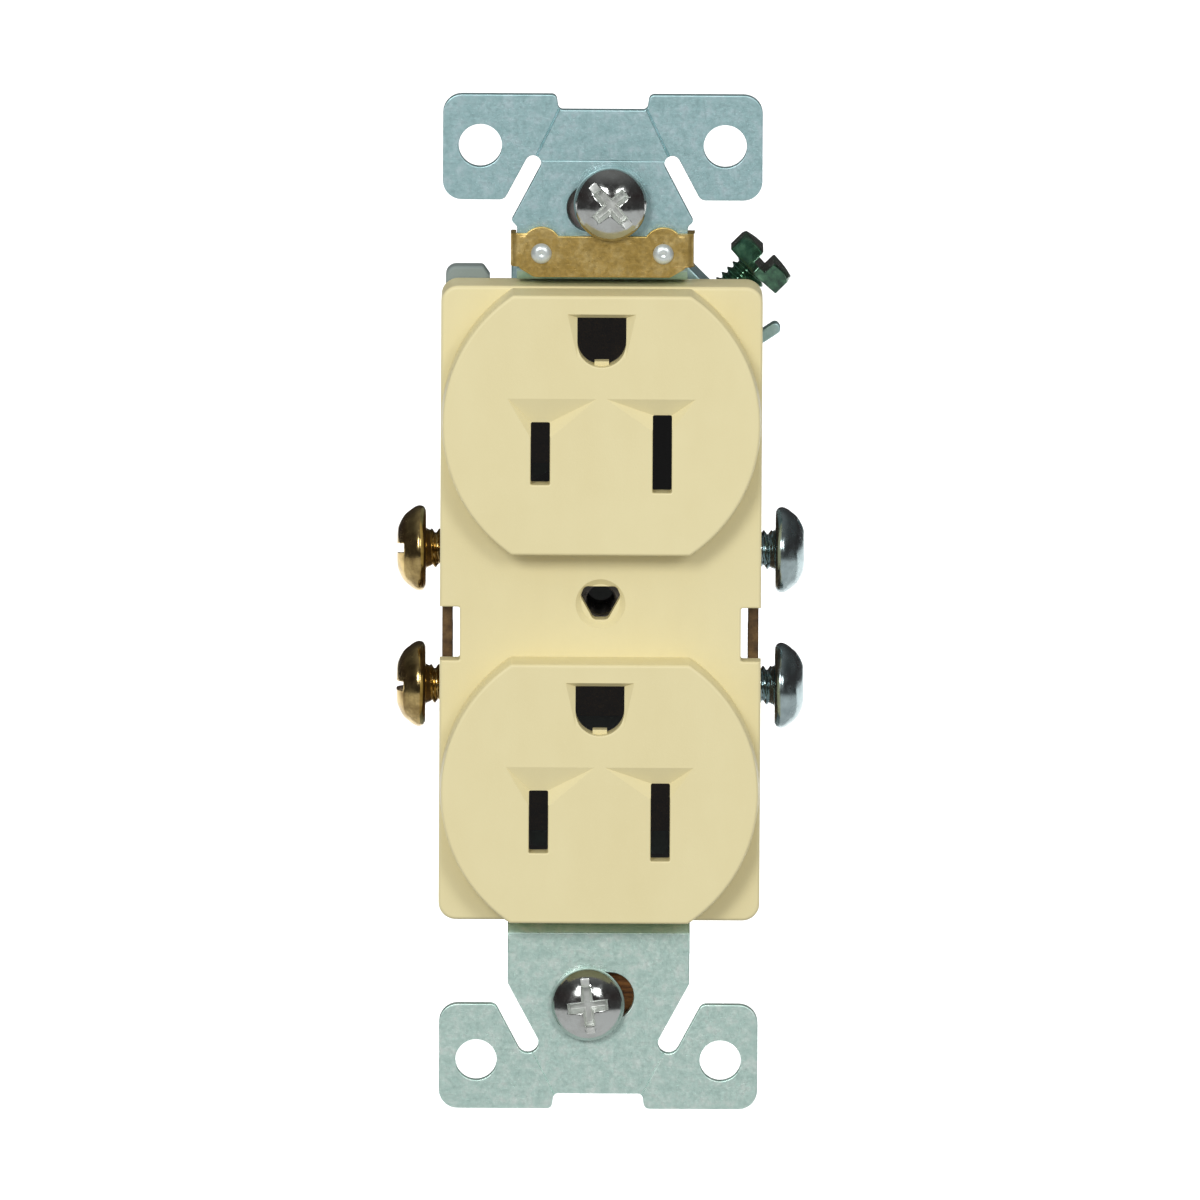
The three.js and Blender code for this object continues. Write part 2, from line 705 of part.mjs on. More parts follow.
// A rivet along Y: a low domed head in front and a clenched one behind.
function rivet() {
  const { head, high, shank } = RIVET;
  const front = BRASS.front - 0.05;
  const back = GROUND.flange + GROUND.sheet + 0.05;
  const profile = [
    [0, front - high],
    [head * 0.7, front - high * 0.85],
    [head, front],
    [shank, front],
    [shank, back],
    [head, back],
    [head, back + high / 2],
    [0, back + high],
  ];
  return solid(new THREE.LatheGeometry(profile.map(([r, y]) => new THREE.Vector2(r, y)), 20));
}

const rivetShape = rivet();
for (const [name, side] of [
  ["ground_rivet_left", -1],
  ["ground_rivet_right", 1],
]) {
  addNode(name, rivetShape, brightSteel).position.set(side * RIVET.x, 0, RIVET.z);
}

// ---- power contact bars ----

// The bar on the right: two tapped terminal plates joined by the break-off fin, and an arm
// from each plate to the contact of one socket.
function powerBar() {
  const { sheet, front, back, top, arm, gap } = BAR;
  const { plateIn, plateOut, middle, y, tapped } = TERMINALS;
  const bladeZ = SOCKETS[0] + BLADE.z;
  const inner = BLADE.x - BLADE.width / 2 + LEAF.slack;
  const outer = BLADE.x + BLADE.width / 2 - LEAF.slack;
  const legIn = outer + LEG.out;
  const legOut = legIn + LEG.width;
  const low = bladeZ - LEAF.half;
  const high = bladeZ + LEAF.half;
  const terminal = box(plateIn, plateOut, front, back, middle + gap / 2, top);
  const armOutline = polygon([
    [plateOut, top - arm],
    [plateOut, top],
    [legOut, top],
    [legOut, bladeZ + LEG.high],
    [outer, bladeZ + LEG.high],
    [outer, bladeZ + LEG.low],
    [legIn, bladeZ + LEG.low],
    [legIn, top - arm],
  ]);
  const leaves = joined(
    box(outer, outer + LEAF.sheet, LEAF.front, LEAF.back, low, high),
    box(inner - LEAF.sheet, inner, LEAF.front, LEAF.back, low, high),
    box(inner - LEAF.sheet, outer + LEAF.sheet, LEAF.back - LEAF.sheet, LEAF.back, low, high),
  );
  const holeCentre = new THREE.Vector3(plateOut, y, TERMINAL_HEIGHTS[0]);
  const tappedHole = rod(holeCentre, new THREE.Vector3(1, 0, 0), tapped, 4);
  const upper = joined(terminal, plate(armOutline, front, front + sheet), leaves).subtract(tappedHole);
  const lower = upper.translate([0, 0, -middle]).mirror([0, 0, 1]).translate([0, 0, middle]);
  const fin = box(plateIn, plateOut, FIN.front, front + sheet, NOTCH.low - FIN.lap, NOTCH.high + FIN.lap);
  return joined(upper, lower, fin);
}

const neutralBar = powerBar();
addNode("neutral_contact_bar", neutralBar, brass);
addNode("hot_contact_bar", mirroredX(neutralBar), brass);

// ---- screws ----

// A screw along Y with its head's underside at the origin and its head towards -Y. The head is
// domed, with a straight slot across a cross recess.
function screw({ head, headHigh, shank, long, slot }, rim = 0.45) {
  const profile = [
    [0, -headHigh],
    [head * 0.45, -headHigh * 0.94],
    [head * 0.75, -headHigh * 0.78],
    [head * 0.93, -headHigh * (rim + 0.08)],
    [head, -headHigh * (rim - 0.15)],
    [head, 0],
    [shank, 0],
    [shank, long - 1],
    [shank * 0.7, long],
    [0, long],
  ];
  const body = solid(new THREE.LatheGeometry(profile.map(([r, y]) => new THREE.Vector2(r, y)), 20));
  const deep = headHigh * 0.42;
  const straight = box(-head - 1, head + 1, -headHigh - 1, deep - headHigh, -slot / 2, slot / 2);
  const cross = box(-slot / 2, slot / 2, -headHigh - 1, deep - headHigh, -head * 0.45, head * 0.45);
  return body.subtract(straight.add(cross));
}

// The ground screw: a hexagonal head with chamfered corners and a straight slot.
function hexScrew({ head, headHigh, shank, long, slot }) {
  const flats = (head * Math.sqrt(3)) / 2;
  const chamfer = pin(0, 0, head + 0.6, -headHigh, 0, 20, flats);
  const hexagon = pin(0, 0, head, -headHigh, 0, 6).intersect(chamfer);
  const shaft = pin(0, 0, shank, -headHigh / 2, long, 20);
  const straight = box(-head - 1, head + 1, -headHigh - 1, -headHigh * 0.4, -slot / 2, slot / 2);
  return hexagon.add(shaft).subtract(straight);
}

// Places a screw by the centre of its head's underside and the way that the head points.
function placeScrew(name, shape, look, foot, out, spin) {
  const mesh = addNode(name, shape, look);
  const turn = new THREE.Quaternion().setFromUnitVectors(new THREE.Vector3(0, -1, 0), out);
  const twist = new THREE.Quaternion();
  twist.setFromAxisAngle(new THREE.Vector3(0, 1, 0), THREE.MathUtils.degToRad(spin));
  mesh.quaternion.copy(turn.multiply(twist));
  mesh.position.copy(foot);
}

const terminalShape = screw(WIRE_SCREW);
for (const [side, pole, look, spin] of [
  [-1, "hot", brassScrew, -9.5],
  [1, "neutral", brightSteel, 80],
]) {
  TERMINAL_HEIGHTS.forEach((z, i) => {
    const foot = new THREE.Vector3(side * (TERMINALS.plateOut + WIRE_SCREW.out), TERMINALS.y, z);
    const name = `terminal_screw_${pole}_${i ? "lower" : "upper"}`;
    placeScrew(name, terminalShape, look, foot, new THREE.Vector3(side, 0, 0), spin + 5 * i);
  });
}

const groundFoot = groundAxis.foot.clone().addScaledVector(groundAxis.out, GROUND_SCREW.out);
placeScrew("ground_screw", hexScrew(GROUND_SCREW), greenScrew, groundFoot, groundAxis.out, 135);

const BOX_SCREWS = [
  { end: "upper", x: 0.85, z: 42.35, under: -2.4, spin: 48, washer: darkSteel },
  { end: "lower", x: -1.1, z: -42.35, under: -1.5, spin: 83, washer: fibre },
];

const boxScrewShape = screw(BOX_SCREW);
for (const { end, x, z, under, spin, washer } of BOX_SCREWS) {
  placeScrew(
    `mounting_screw_${end}`,
    boxScrewShape,
    brightSteel,
    new THREE.Vector3(x, under, z),
    new THREE.Vector3(0, -1, 0),
    spin,
  );
  const sheet = plate(roundedRectangle(x, z, WASHER.width, WASHER.height, 1.2), GAP, GAP + WASHER.thick, 3);
  addNode(`retaining_washer_${end}`, sheet.subtract(pin(x, z, WASHER.hole, -1, 2)), washer);
}

const caseScrewShape = screw(CASE_SCREW);
for (const [end, side] of [
  ["upper", -1],
  ["lower", 1],
]) {
  placeScrew(
    `assembly_screw_${end}`,
    caseScrewShape,
    brightSteel,
    new THREE.Vector3(side * ASSEMBLY.x, CASE_SCREW.under, -side * ASSEMBLY.z),
    new THREE.Vector3(0, 1, 0),
    30,
  );
}

// ---- threaded bush for the wall plate's screw ----

const bush = pin(0, 0, PLATE_HOLE.boss - 1.6, COVER.floor + GAP, PLATE_HOLE.bossBack - 0.4, 12).subtract(
  pin(0, 0, 1.5, 0, PLATE_HOLE.bossBack + 1, 20),
);
addNode("plate_screw_bush", bush, darkSteel);

export default outlet;
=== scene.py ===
"""The looks of a duplex wall outlet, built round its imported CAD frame.

Shapes are worked out in millimetres in the row's frame (+X right, +Z up, the front faces -Y) and
scaled to metres when a mesh is made.
"""

import math

import bmesh
import bpy
from mathutils import Matrix, Vector


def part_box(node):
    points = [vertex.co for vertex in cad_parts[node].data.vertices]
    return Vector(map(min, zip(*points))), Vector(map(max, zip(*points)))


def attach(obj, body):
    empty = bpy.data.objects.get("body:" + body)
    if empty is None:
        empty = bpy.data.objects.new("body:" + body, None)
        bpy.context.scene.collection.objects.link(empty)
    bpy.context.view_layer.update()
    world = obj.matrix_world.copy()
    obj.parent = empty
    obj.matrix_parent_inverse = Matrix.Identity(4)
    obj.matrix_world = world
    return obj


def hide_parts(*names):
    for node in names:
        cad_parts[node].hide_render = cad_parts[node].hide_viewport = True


MM = 0.001

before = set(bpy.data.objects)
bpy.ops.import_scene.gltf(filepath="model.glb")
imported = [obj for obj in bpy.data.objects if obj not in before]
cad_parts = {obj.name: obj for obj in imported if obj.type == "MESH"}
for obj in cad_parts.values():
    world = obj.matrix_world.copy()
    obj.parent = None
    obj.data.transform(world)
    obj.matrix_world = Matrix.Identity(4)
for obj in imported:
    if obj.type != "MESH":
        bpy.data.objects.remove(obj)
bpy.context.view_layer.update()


def place_of(node):
    """The lowest and highest corners of a CAD node, in millimetres."""
    low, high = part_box(node)
    return low / MM, high / MM


# ---- the camera ----

CAMERA_ELEVATION = 9.5
CAMERA_DISTANCE = 4500.0
CAMERA_TARGET = (-0.05, -1.8, 0.41)
CAMERA_ROLL = 0.3
VIEW_WIDTH = 125.1
SENSOR_WIDTH = 36.0


def add_camera():
    """A long lens in front of the outlet, looking slightly down at it."""
    data = bpy.data.cameras.new("camera")
    data.sensor_width = SENSOR_WIDTH
    data.lens = SENSOR_WIDTH * CAMERA_DISTANCE / VIEW_WIDTH
    data.clip_end = 20
    camera = bpy.data.objects.new("camera", data)
    bpy.context.scene.collection.objects.link(camera)
    elevation = math.radians(CAMERA_ELEVATION)
    back = Vector((0, -math.cos(elevation), math.sin(elevation)))
    roll = Matrix.Rotation(math.radians(CAMERA_ROLL), 3, "Z").to_quaternion()
    turn = (-back).to_track_quat("-Z", "Y") @ roll
    camera.location = (Vector(CAMERA_TARGET) + back * CAMERA_DISTANCE) * MM
    camera.rotation_euler = turn.to_euler()
    bpy.context.scene.camera = camera


add_camera()

# ---- outlines: closed loops of (across, up) points that run anticlockwise ----


def arc(centre, radius, start, end, steps):
    """Points along an arc between two angles in degrees, both ends included."""
    points = []
    for i in range(steps + 1):
        angle = math.radians(start + (end - start) * i / steps)
        points.append((centre[0] + radius * math.cos(angle), centre[1] + radius * math.sin(angle)))
    return points


def circle(centre, radius, steps=48):
    return arc(centre, radius, 0, 360, steps)[:-1]


def rounded_rectangle(centre, width, height, radius, steps=6):
    x = width / 2 - radius
    z = height / 2 - radius
    points = []
    for side, (dx, dz) in enumerate(((x, z), (-x, z), (-x, -z), (x, -z))):
        corner = (centre[0] + dx, centre[1] + dz)
        points += arc(corner, radius, 90 * side, 90 * side + 90, steps)
    return points


def rounded_polygon(points, radius, steps=4):
    """The polygon with its corners rounded, by one radius or a radius for each corner."""
    radii = radius if isinstance(radius, (list, tuple)) else [radius] * len(points)
    made = []
    for i, point in enumerate(points):
        corner = Vector(point)
        if radii[i] <= 0:
            made.append(tuple(corner))
            continue
        before = (Vector(points[i - 1]) - corner).normalized()
        after = (Vector(points[(i + 1) % len(points)]) - corner).normalized()
        half = before.angle(after) / 2
        reach = radii[i] / math.tan(half)
        centre = corner + (before + after).normalized() * radii[i] / math.sin(half)
        first = corner + before * reach - centre
        last = corner + after * reach - centre
        turn = first.angle_signed(last)
        for k in range(steps + 1):
            angle = -turn * k / steps
            spoke = Matrix.Rotation(angle, 2) @ first
            made.append(tuple(centre + spoke))
    return made


def offset(loop, distance):
    """The loop moved outwards by a distance, with mitred corners."""
    count = len(loop)
    moved = []
    for i, (x, z) in enumerate(loop):
        before = Vector((x - loop[i - 1][0], z - loop[i - 1][1])).normalized()
        after = Vector((loop[(i + 1) % count][0] - x, loop[(i + 1) % count][1] - z)).normalized()
        outwards = Vector((before.y + after.y, -before.x - after.x))
        outwards *= distance * 2 / max(outwards.length_squared, 0.5)
        moved.append((x + outwards.x, z + outwards.y))
    return moved


def through(points, steps=4):
    """A smooth curve through points, ends included."""
    line = [Vector(point) for point in points]
    made = []
    for i in range(len(line) - 1):
        before = line[i - 1] if i else line[0] * 2 - line[1]
        after = line[i + 2] if i + 2 < len(line) else line[-1] * 2 - line[-2]
        for k in range(steps):
            t = k / steps
            bend = (after - line[i]) / 2 * (t**3 - t**2) + (line[i + 1] - before) / 2 * (t**3 - 2 * t**2 + t)
            made.append(tuple(line[i].lerp(line[i + 1], t * t * (3 - 2 * t)) + bend))
    return made + [tuple(line[-1])]


def mirrored(loop):
    """The loop mirrored left to right, still anticlockwise."""
    return [(-x, z) for x, z in reversed(loop)]


# ---- where an outline's (across, up, deep) points go ----


def facing_front(across, up, deep):
    return (across, deep, up)


def facing_side(across, up, deep):
    return (deep, across, up)


# ---- meshes ----


def new_object(name, bm):
    """An object from a bmesh in millimetres, which it frees."""
    bmesh.ops.scale(bm, vec=(MM, MM, MM), verts=bm.verts)
    mesh = bpy.data.meshes.new(name)
    bm.to_mesh(mesh)
    bm.free()
    made = bpy.data.objects.new(name, mesh)
    bpy.context.scene.collection.objects.link(made)
    return made


def close(bm):
    """Faces turned to point outwards."""
    bmesh.ops.recalc_face_normals(bm, faces=bm.faces)
    return bm


def loft(loop, profile, place=facing_front):
    """A closed bmesh through copies of a loop, each moved outwards and back by a profile step."""
    bm = bmesh.new()
    rings = []
    for outwards, deep in profile:
        ring = offset(loop, outwards) if outwards else loop
        rings.append([bm.verts.new(place(x, z, deep)) for x, z in ring])
    count = len(loop)
    for near, far in zip(rings, rings[1:]):
        for i in range(count):
            j = (i + 1) % count
            bm.faces.new((near[i], near[j], far[j], far[i]))
    bm.faces.new(rings[0])
    bm.faces.new(list(reversed(rings[-1])))
    return close(bm)


def turned(profile, steps=64):
    """A solid turned about the Y axis from (radius, y) points that start and end on the axis."""
    bm = bmesh.new()
    rings = []
    for radius, y in profile:
        if radius == 0:
            rings.append([bm.verts.new((0, y, 0))])
        else:
            rings.append([bm.verts.new((x, y, z)) for x, z in circle((0, 0), radius, steps)])
    for near, far in zip(rings, rings[1:]):
        for i in range(steps):
            j = (i + 1) % steps
            corners = [near[i % len(near)], near[j % len(near)], far[j % len(far)], far[i % len(far)]]
            bm.faces.new(dict.fromkeys(corners))
    return close(bm)


def quarter(radius, steps=3):
    """The (inwards, deep) steps of a rounded edge, from its face to its side."""
    return [
        (-radius * (1 - math.sin(math.pi / 2 * i / steps)), radius * (1 - math.cos(math.pi / 2 * i / steps)))
        for i in range(steps + 1)
    ]


def rounded_profile(front, back, front_radius, back_radius, steps=3):
    """A loft profile from front to back with both edges rounded."""
    near = [(inwards, front + deep) for inwards, deep in quarter(front_radius, steps)]
    far = [(inwards, back - deep) for inwards, deep in quarter(back_radius, steps)]
    return near + far[::-1]


def mouth_profile(front, back, radius, steps=3):
    """A loft profile for a cut whose mouth is rounded: it flares out at the front."""
    flare = [(radius * (1 - math.sin(a)), front + radius * (1 - math.cos(a))) for a in quarter_angles(steps)]
    return [(radius * 1.5, front - 0.5)] + flare + [(0, back)]


def quarter_angles(steps):
    return [math.pi / 2 * i / steps for i in range(steps + 1)]


def combine(target, others, operation):
    """Joins solids to an object, or cuts them from it, and deletes them."""
    for other in others:
        modifier = target.modifiers.new("combine", "BOOLEAN")
        modifier.operation = operation
        modifier.solver = "EXACT"
        modifier.object = other
    apply_modifiers(target)
    for other in others:
        bpy.data.objects.remove(other)
    return target


def join_solids(target, *others):
    return combine(target, others, "UNION")


def cut(target, *others):
    return combine(target, others, "DIFFERENCE")


def apply_modifiers(target):
    """Puts an object's modifiers into its mesh."""
    bpy.context.view_layer.update()
    graph = bpy.context.evaluated_depsgraph_get()
    mesh = bpy.data.meshes.new_from_object(target.evaluated_get(graph))
    target.modifiers.clear()
    target.data = mesh


def merge_close(target, distance=0.002):
    """Merges vertices that a boolean left on top of each other, and drops slivers."""
    bm = bmesh.new()
    bm.from_mesh(target.data)
    bmesh.ops.remove_doubles(bm, verts=bm.verts, dist=distance * MM)
    bmesh.ops.dissolve_degenerate(bm, dist=distance * MM, edges=bm.edges)
    bm.to_mesh(target.data)
    bm.free()


def smooth(target, angle=35):
    """Smooth shading, with edges over an angle left sharp and flat faces kept flat."""
    target.data.shade_smooth()
    target.data.set_sharp_from_angle(angle=math.radians(angle))
    weighted = target.modifiers.new("flat faces", "WEIGHTED_NORMAL")
    weighted.keep_sharp = True
    weighted.weight = 80
    apply_modifiers(target)


def overlay(target, other):
    """Joins another object's mesh to this one's without cutting either."""
    bm = bmesh.new()
    bm.from_mesh(target.data)
    bm.from_mesh(other.data)
    bm.to_mesh(target.data)
    bm.free()
    bpy.data.objects.remove(other)
    return target


def soften(target, width, segments=2, angle=30):
    """Rounds an object's sharp edges."""
    bevel = target.modifiers.new("soft edges", "BEVEL")
    bevel.width = width * MM
    bevel.segments = segments
    bevel.limit_method = "ANGLE"
    bevel.angle_limit = math.radians(angle)
    bevel.use_clamp_overlap = False
    bevel.miter_outer = "MITER_ARC"
    apply_modifiers(target)


def refined_copy(node, width, segments=2):
    """A copy of a CAD node with flat faces merged and its edges rounded."""
    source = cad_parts[node]
    made = bpy.data.objects.new(node + "_fine", source.data.copy())
    bpy.context.scene.collection.objects.link(made)
    bm = bmesh.new()
    bm.from_mesh(made.data)
    bmesh.ops.remove_doubles(bm, verts=bm.verts, dist=0.001 * MM)
    bmesh.ops.dissolve_limit(bm, angle_limit=math.radians(0.5), verts=bm.verts, edges=bm.edges)
    bm.to_mesh(made.data)
    bm.free()
    made.data.materials.clear()
    soften(made, width, segments)
    smooth(made)
    return made


def finish_piece(made, look, body, slot, *nodes):
    """Gives a piece its material and its body, and hides the CAD nodes that it stands for."""
    if look:
        made.data.materials.clear()
        made.data.materials.append(look)
    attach(made, body)
    if nodes:
        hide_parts(*nodes)
    return made


def block(low, high):
    """A rectangular cutter between two (x, y, z) corners."""
    outline = [(low[0], low[2]), (high[0], low[2]), (high[0], high[2]), (low[0], high[2])]
    return new_object("cutter", loft(outline, [(0, low[1]), (0, high[1])]))


def hull(points):
    """The smallest convex solid round some points."""
    bm = bmesh.new()
    bmesh.ops.convex_hull(bm, input=[bm.verts.new(point) for point in points])
    return new_object("cutter", close(bm))


def round_cutter(centre, radius, front, back, flare=0.0, steps=48):
    """A round cutter along Y, with its mouth flared at the front."""
    profile = mouth_profile(front, back, flare) if flare else [(0, front - 0.5), (0, back)]
    return new_object("cutter", loft(circle(centre, radius, steps), profile))


def aimed(target, foot, out, spin):
    """Moves a mesh that heads towards -Y to a foot, turned to head another way."""
    turn = Vector((0, -1, 0)).rotation_difference(Vector(out)).to_matrix().to_4x4()
    twist = Matrix.Rotation(math.radians(spin), 4, "Y")
    target.data.transform(Matrix.Translation(Vector(foot) * MM) @ turn @ twist)
    return target


# ---- materials ----


def linear(red, green, blue):
    """A colour given in 0..255 display values, as the linear values that a shader takes."""

    def one(value):
        value /= 255
        return value / 12.92 if value <= 0.04045 else ((value + 0.055) / 1.055) ** 2.4

    return (one(red), one(green), one(blue), 1.0)


class Look:
    """A procedural material built round one Principled shader."""

    def __init__(self, name, metallic=0.0, specular=0.5, coat=0.0, coat_roughness=0.1):
        self.material = bpy.data.materials.new(name)
        self.material.use_nodes = True
        self.tree = self.material.node_tree
        self.shader = self.tree.nodes["Principled BSDF"]
        self.shader.inputs["Metallic"].default_value = metallic
        self.shader.inputs["Specular IOR Level"].default_value = specular
        self.shader.inputs["Coat Weight"].default_value = coat
        self.shader.inputs["Coat Roughness"].default_value = coat_roughness
        self.where = self.tree.nodes.new("ShaderNodeTexCoord").outputs["Object"]

    def node(self, kind, inputs=(), **settings):
        made = self.tree.nodes.new("ShaderNode" + kind)
        for key, value in settings.items():
            setattr(made, key, value)
        for socket, value in dict(inputs).items():
            if isinstance(value, bpy.types.NodeSocket):
                self.tree.links.new(value, made.inputs[socket])
            else:
                made.inputs[socket].default_value = value
        return made

    def stretched(self, scale):
        """The object's coordinates, scaled by a different amount along each axis."""
        return self.node("Mapping", {"Vector": self.where, "Scale": scale}).outputs[0]

    def noise(self, size, detail=3.0, roughness=0.5, where=None):
        """Noise whose blotches are about a size across, in millimetres."""
        inputs = {"Vector": where or self.where, "Scale": 1 / (size * MM)}
        inputs |= {"Detail": detail, "Roughness": roughness}
        return self.node("TexNoise", inputs).outputs["Fac"]

    def ramp(self, value, *stops):
        """A colour ramp through (position, colour) stops."""
        made = self.node("ValToRGB", {"Fac": value})
        elements = made.color_ramp.elements
        while len(elements) < len(stops):
            elements.new(0.5)
        for element, (position, color) in zip(elements, stops):
            element.position = position
            element.color = color if len(color) == 4 else (*color, 1)
        return made.outputs["Color"]

    def spread(self, value, low, high, start=0.3, end=0.7):
        """A value rescaled from start..end to low..high."""
        inputs = {"Value": value, "From Min": start, "From Max": end, "To Min": low, "To Max": high}
        return self.node("MapRange", inputs).outputs[0]

    def mix(self, factor, first, second, blend="MIX"):
        made = self.node("Mix", data_type="RGBA", blend_type=blend)
        for socket, value in ((made.inputs[0], factor), (made.inputs[6], first), (made.inputs[7], second)):
            if isinstance(value, bpy.types.NodeSocket):
                self.tree.links.new(value, socket)
            else:
                socket.default_value = value
        return made.outputs[2]

    def glow(self, strength):
        """A small emission, which keeps deep holes from rendering black."""
        self.shader.inputs["Emission Color"].default_value = (1, 1, 1, 1)
        self.shader.inputs["Emission Strength"].default_value = strength
        return self

    def finish(self, color, roughness, *bumps):
        """Connects the colour, the roughness and (height, depth in millimetres) bumps."""
        links = self.tree.links
        links.new(color, self.shader.inputs["Base Color"])
        links.new(roughness, self.shader.inputs["Roughness"])
        normal = None
        for height, depth in bumps:
            made = self.node("Bump", {"Height": height, "Distance": depth * MM, "Strength": 1.0})
            if normal:
                links.new(normal, made.inputs["Normal"])
            normal = made.outputs[0]
        if normal:
            links.new(normal, self.shader.inputs["Normal"])
        return self.material


def moulded_plastic(name, color, shade, fleck, roughness=0.42, glow=0.0):
    """Moulded plastic: faint flow marks, small flecks and a fine matt grain."""
    look = Look(name, specular=0.4).glow(glow)
    flow = look.ramp(look.noise(9, 4, 0.6, look.stretched((1, 1, 0.35))), (0.32, shade), (0.62, color))
    flecks = look.spread(look.noise(0.35, 2, 0.6), 0.0, 0.35, 0.6, 0.8)
    base = look.mix(flecks, flow, fleck)
    rough = look.spread(look.noise(2.5, 3), roughness - 0.06, roughness + 0.08)
    return look.finish(base, rough, (look.noise(0.22, 4, 0.7), 0.012), (look.noise(3.2, 2), 0.02))


# Heights over which a plated sheet's upper end fades into its painted shade.
UPPER_SHADE_LOW = -30 * MM
UPPER_SHADE_HIGH = 38 * MM


def plated_sheet(
    name, dark, middle, light, roughness=0.44, metallic=0.75, brushed=0.2, glow=0.0, upper=None
):
    """Rolled and plated sheet: faint clouds, sparse dark pits and short bright scratches.

    The upper end of the object can be darkened and tinted by its height: painted shade, for an upper end that
    catches less light than the lower."""
    look = Look(name, metallic=metallic).glow(glow)
    color = look.ramp(look.noise(1.3, 5, 0.65), (0.34, dark), (0.5, middle), (0.68, light))
    pits = look.spread(look.noise(0.24, 3, 0.7), 0.0, 0.6, 0.58, 0.72)
    color = look.mix(pits, color, look.mix(0.7, color, dark, "MULTIPLY"))
    lines = look.noise(0.2, 3, 0.6, look.stretched((0.07, 1, 1)))
    color = look.mix(look.spread(lines, 0.0, brushed, 0.55, 0.72), color, light)
    # Painted shade: the colour is multiplied darker and bluer towards the upper end.
    if upper:
        height = look.node("SeparateXYZ", {"Vector": look.where}).outputs["Z"]
        upper_shaded = look.mix(1.0, color, upper, "MULTIPLY")
        color = look.mix(look.spread(height, 0.0, 1.0, UPPER_SHADE_LOW, UPPER_SHADE_HIGH), color, upper_shaded)
    rough = look.spread(look.noise(0.4, 4, 0.7), roughness + 0.08, roughness - 0.1)
    return look.finish(color, rough, (pits, -0.012), (lines, 0.006), (look.noise(0.3, 3), 0.01))


def turned_metal(name, color, tarnish, amount, roughness=0.2, metallic=1.0):
    """Bright headed wire: mostly clean metal with soft tarnish and fine drawing marks."""
    look = Look(name, metallic=metallic)
    patches = look.noise(2.2, 5, 0.62)
    base = look.mix(look.spread(patches, 0.0, amount, 0.42, 0.68), color, tarnish)
    rough = look.spread(look.noise(0.8, 4, 0.6), roughness - 0.06, roughness + 0.12)
    return look.finish(base, rough, (look.noise(0.3, 4, 0.65), 0.004), (look.noise(1.6, 3), 0.012))


def fibre_sheet(name):
    """Pressed brown fibre with short crossed fibres."""
    look = Look(name, specular=0.25)
    along = look.noise(0.5, 4, 0.7, look.stretched((0.2, 1, 1.4)))
    color = look.ramp(along, (0.35, linear(74, 44, 22)), (0.65, linear(143, 96, 52)))
    return look.finish(color, look.spread(along, 0.7, 0.9), (along, 0.03))


def dyed_screw(name):
    """Dark green dye over bright metal, lighter in some random patches and darker in others."""
    look = Look(name, metallic=0.8, coat=0.8, coat_roughness=0.08)
    patches = look.noise(1.2, 4, 0.6)
    stops = ((0.34, linear(38, 66, 54)), (0.5, linear(64, 108, 82)), (0.68, linear(104, 152, 118)))
    color = look.ramp(patches, *stops)
    rough = look.spread(look.noise(0.6, 3), 0.14, 0.26)
    return look.finish(color, rough, (look.noise(0.5, 4, 0.6), 0.008))


IVORY = moulded_plastic("ivory_nylon", linear(230, 219, 171), linear(227, 215, 166), linear(234, 224, 180))
GREY = moulded_plastic(
    "grey_plastic", linear(138, 150, 146), linear(128, 140, 137), linear(152, 163, 160), 0.5, glow=0.007
)
BLACK = moulded_plastic(
    "black_plastic", linear(34, 34, 35), linear(28, 28, 29), linear(52, 52, 53), 0.45, glow=0.009
)
# Painted shade for the strap's upper end, which shows darker and bluer than its lower end.
ZINC_UPPER_SHADE = linear(214, 226, 238)
ZINC = plated_sheet(
    "zinc_steel", linear(200, 230, 221), linear(214, 241, 232), linear(236, 252, 245), upper=ZINC_UPPER_SHADE
)
BRASS = plated_sheet(
    "sheet_brass", linear(186, 156, 84), linear(200, 170, 98), linear(222, 196, 130), 0.4, 0.8, 0.35
)
# Contact-bar brass made dark as painted shade, so the deep slots and notches where it shows come out near
# black.
BRASS_PAINTED_SHADE = plated_sheet(
    "brass_with_painted_shade", linear(70, 50, 28), linear(104, 78, 44), linear(128, 100, 60), 0.5, 0.7, glow=0.01
)
BRASS_SCREW = turned_metal("screw_brass", linear(216, 190, 128), linear(122, 96, 56), 0.85, 0.16)
BRIGHT = turned_metal("bright_steel", linear(206, 210, 208), linear(160, 158, 152), 0.5, 0.11)
NICKEL = turned_metal("plated_steel", linear(190, 208, 210), linear(140, 158, 162), 0.6, 0.2)
# A lighter, rougher steel for the slot and cross faces of the mounting and assembly screws: a painted
# highlight that makes their floors show bright.
RECESS_PAINTED_LIGHT = turned_metal("steel_recess_painted_light", linear(236, 240, 236), linear(190, 190, 184), 0.5, 0.36, 0.75)
RIVETED = turned_metal("rivet_steel", linear(226, 234, 232), linear(176, 186, 186), 0.4, 0.34, 0.6)
WASHER = turned_metal("washer_steel", linear(158, 150, 147), linear(112, 104, 102), 0.6, 0.34, 0.6)
STEEL = turned_metal("dark_steel", linear(132, 129, 128), linear(80, 77, 76), 0.6, 0.3)
FIBRE = fibre_sheet("fibre")
GREEN = dyed_screw("green_steel")

# ---- front cover ----

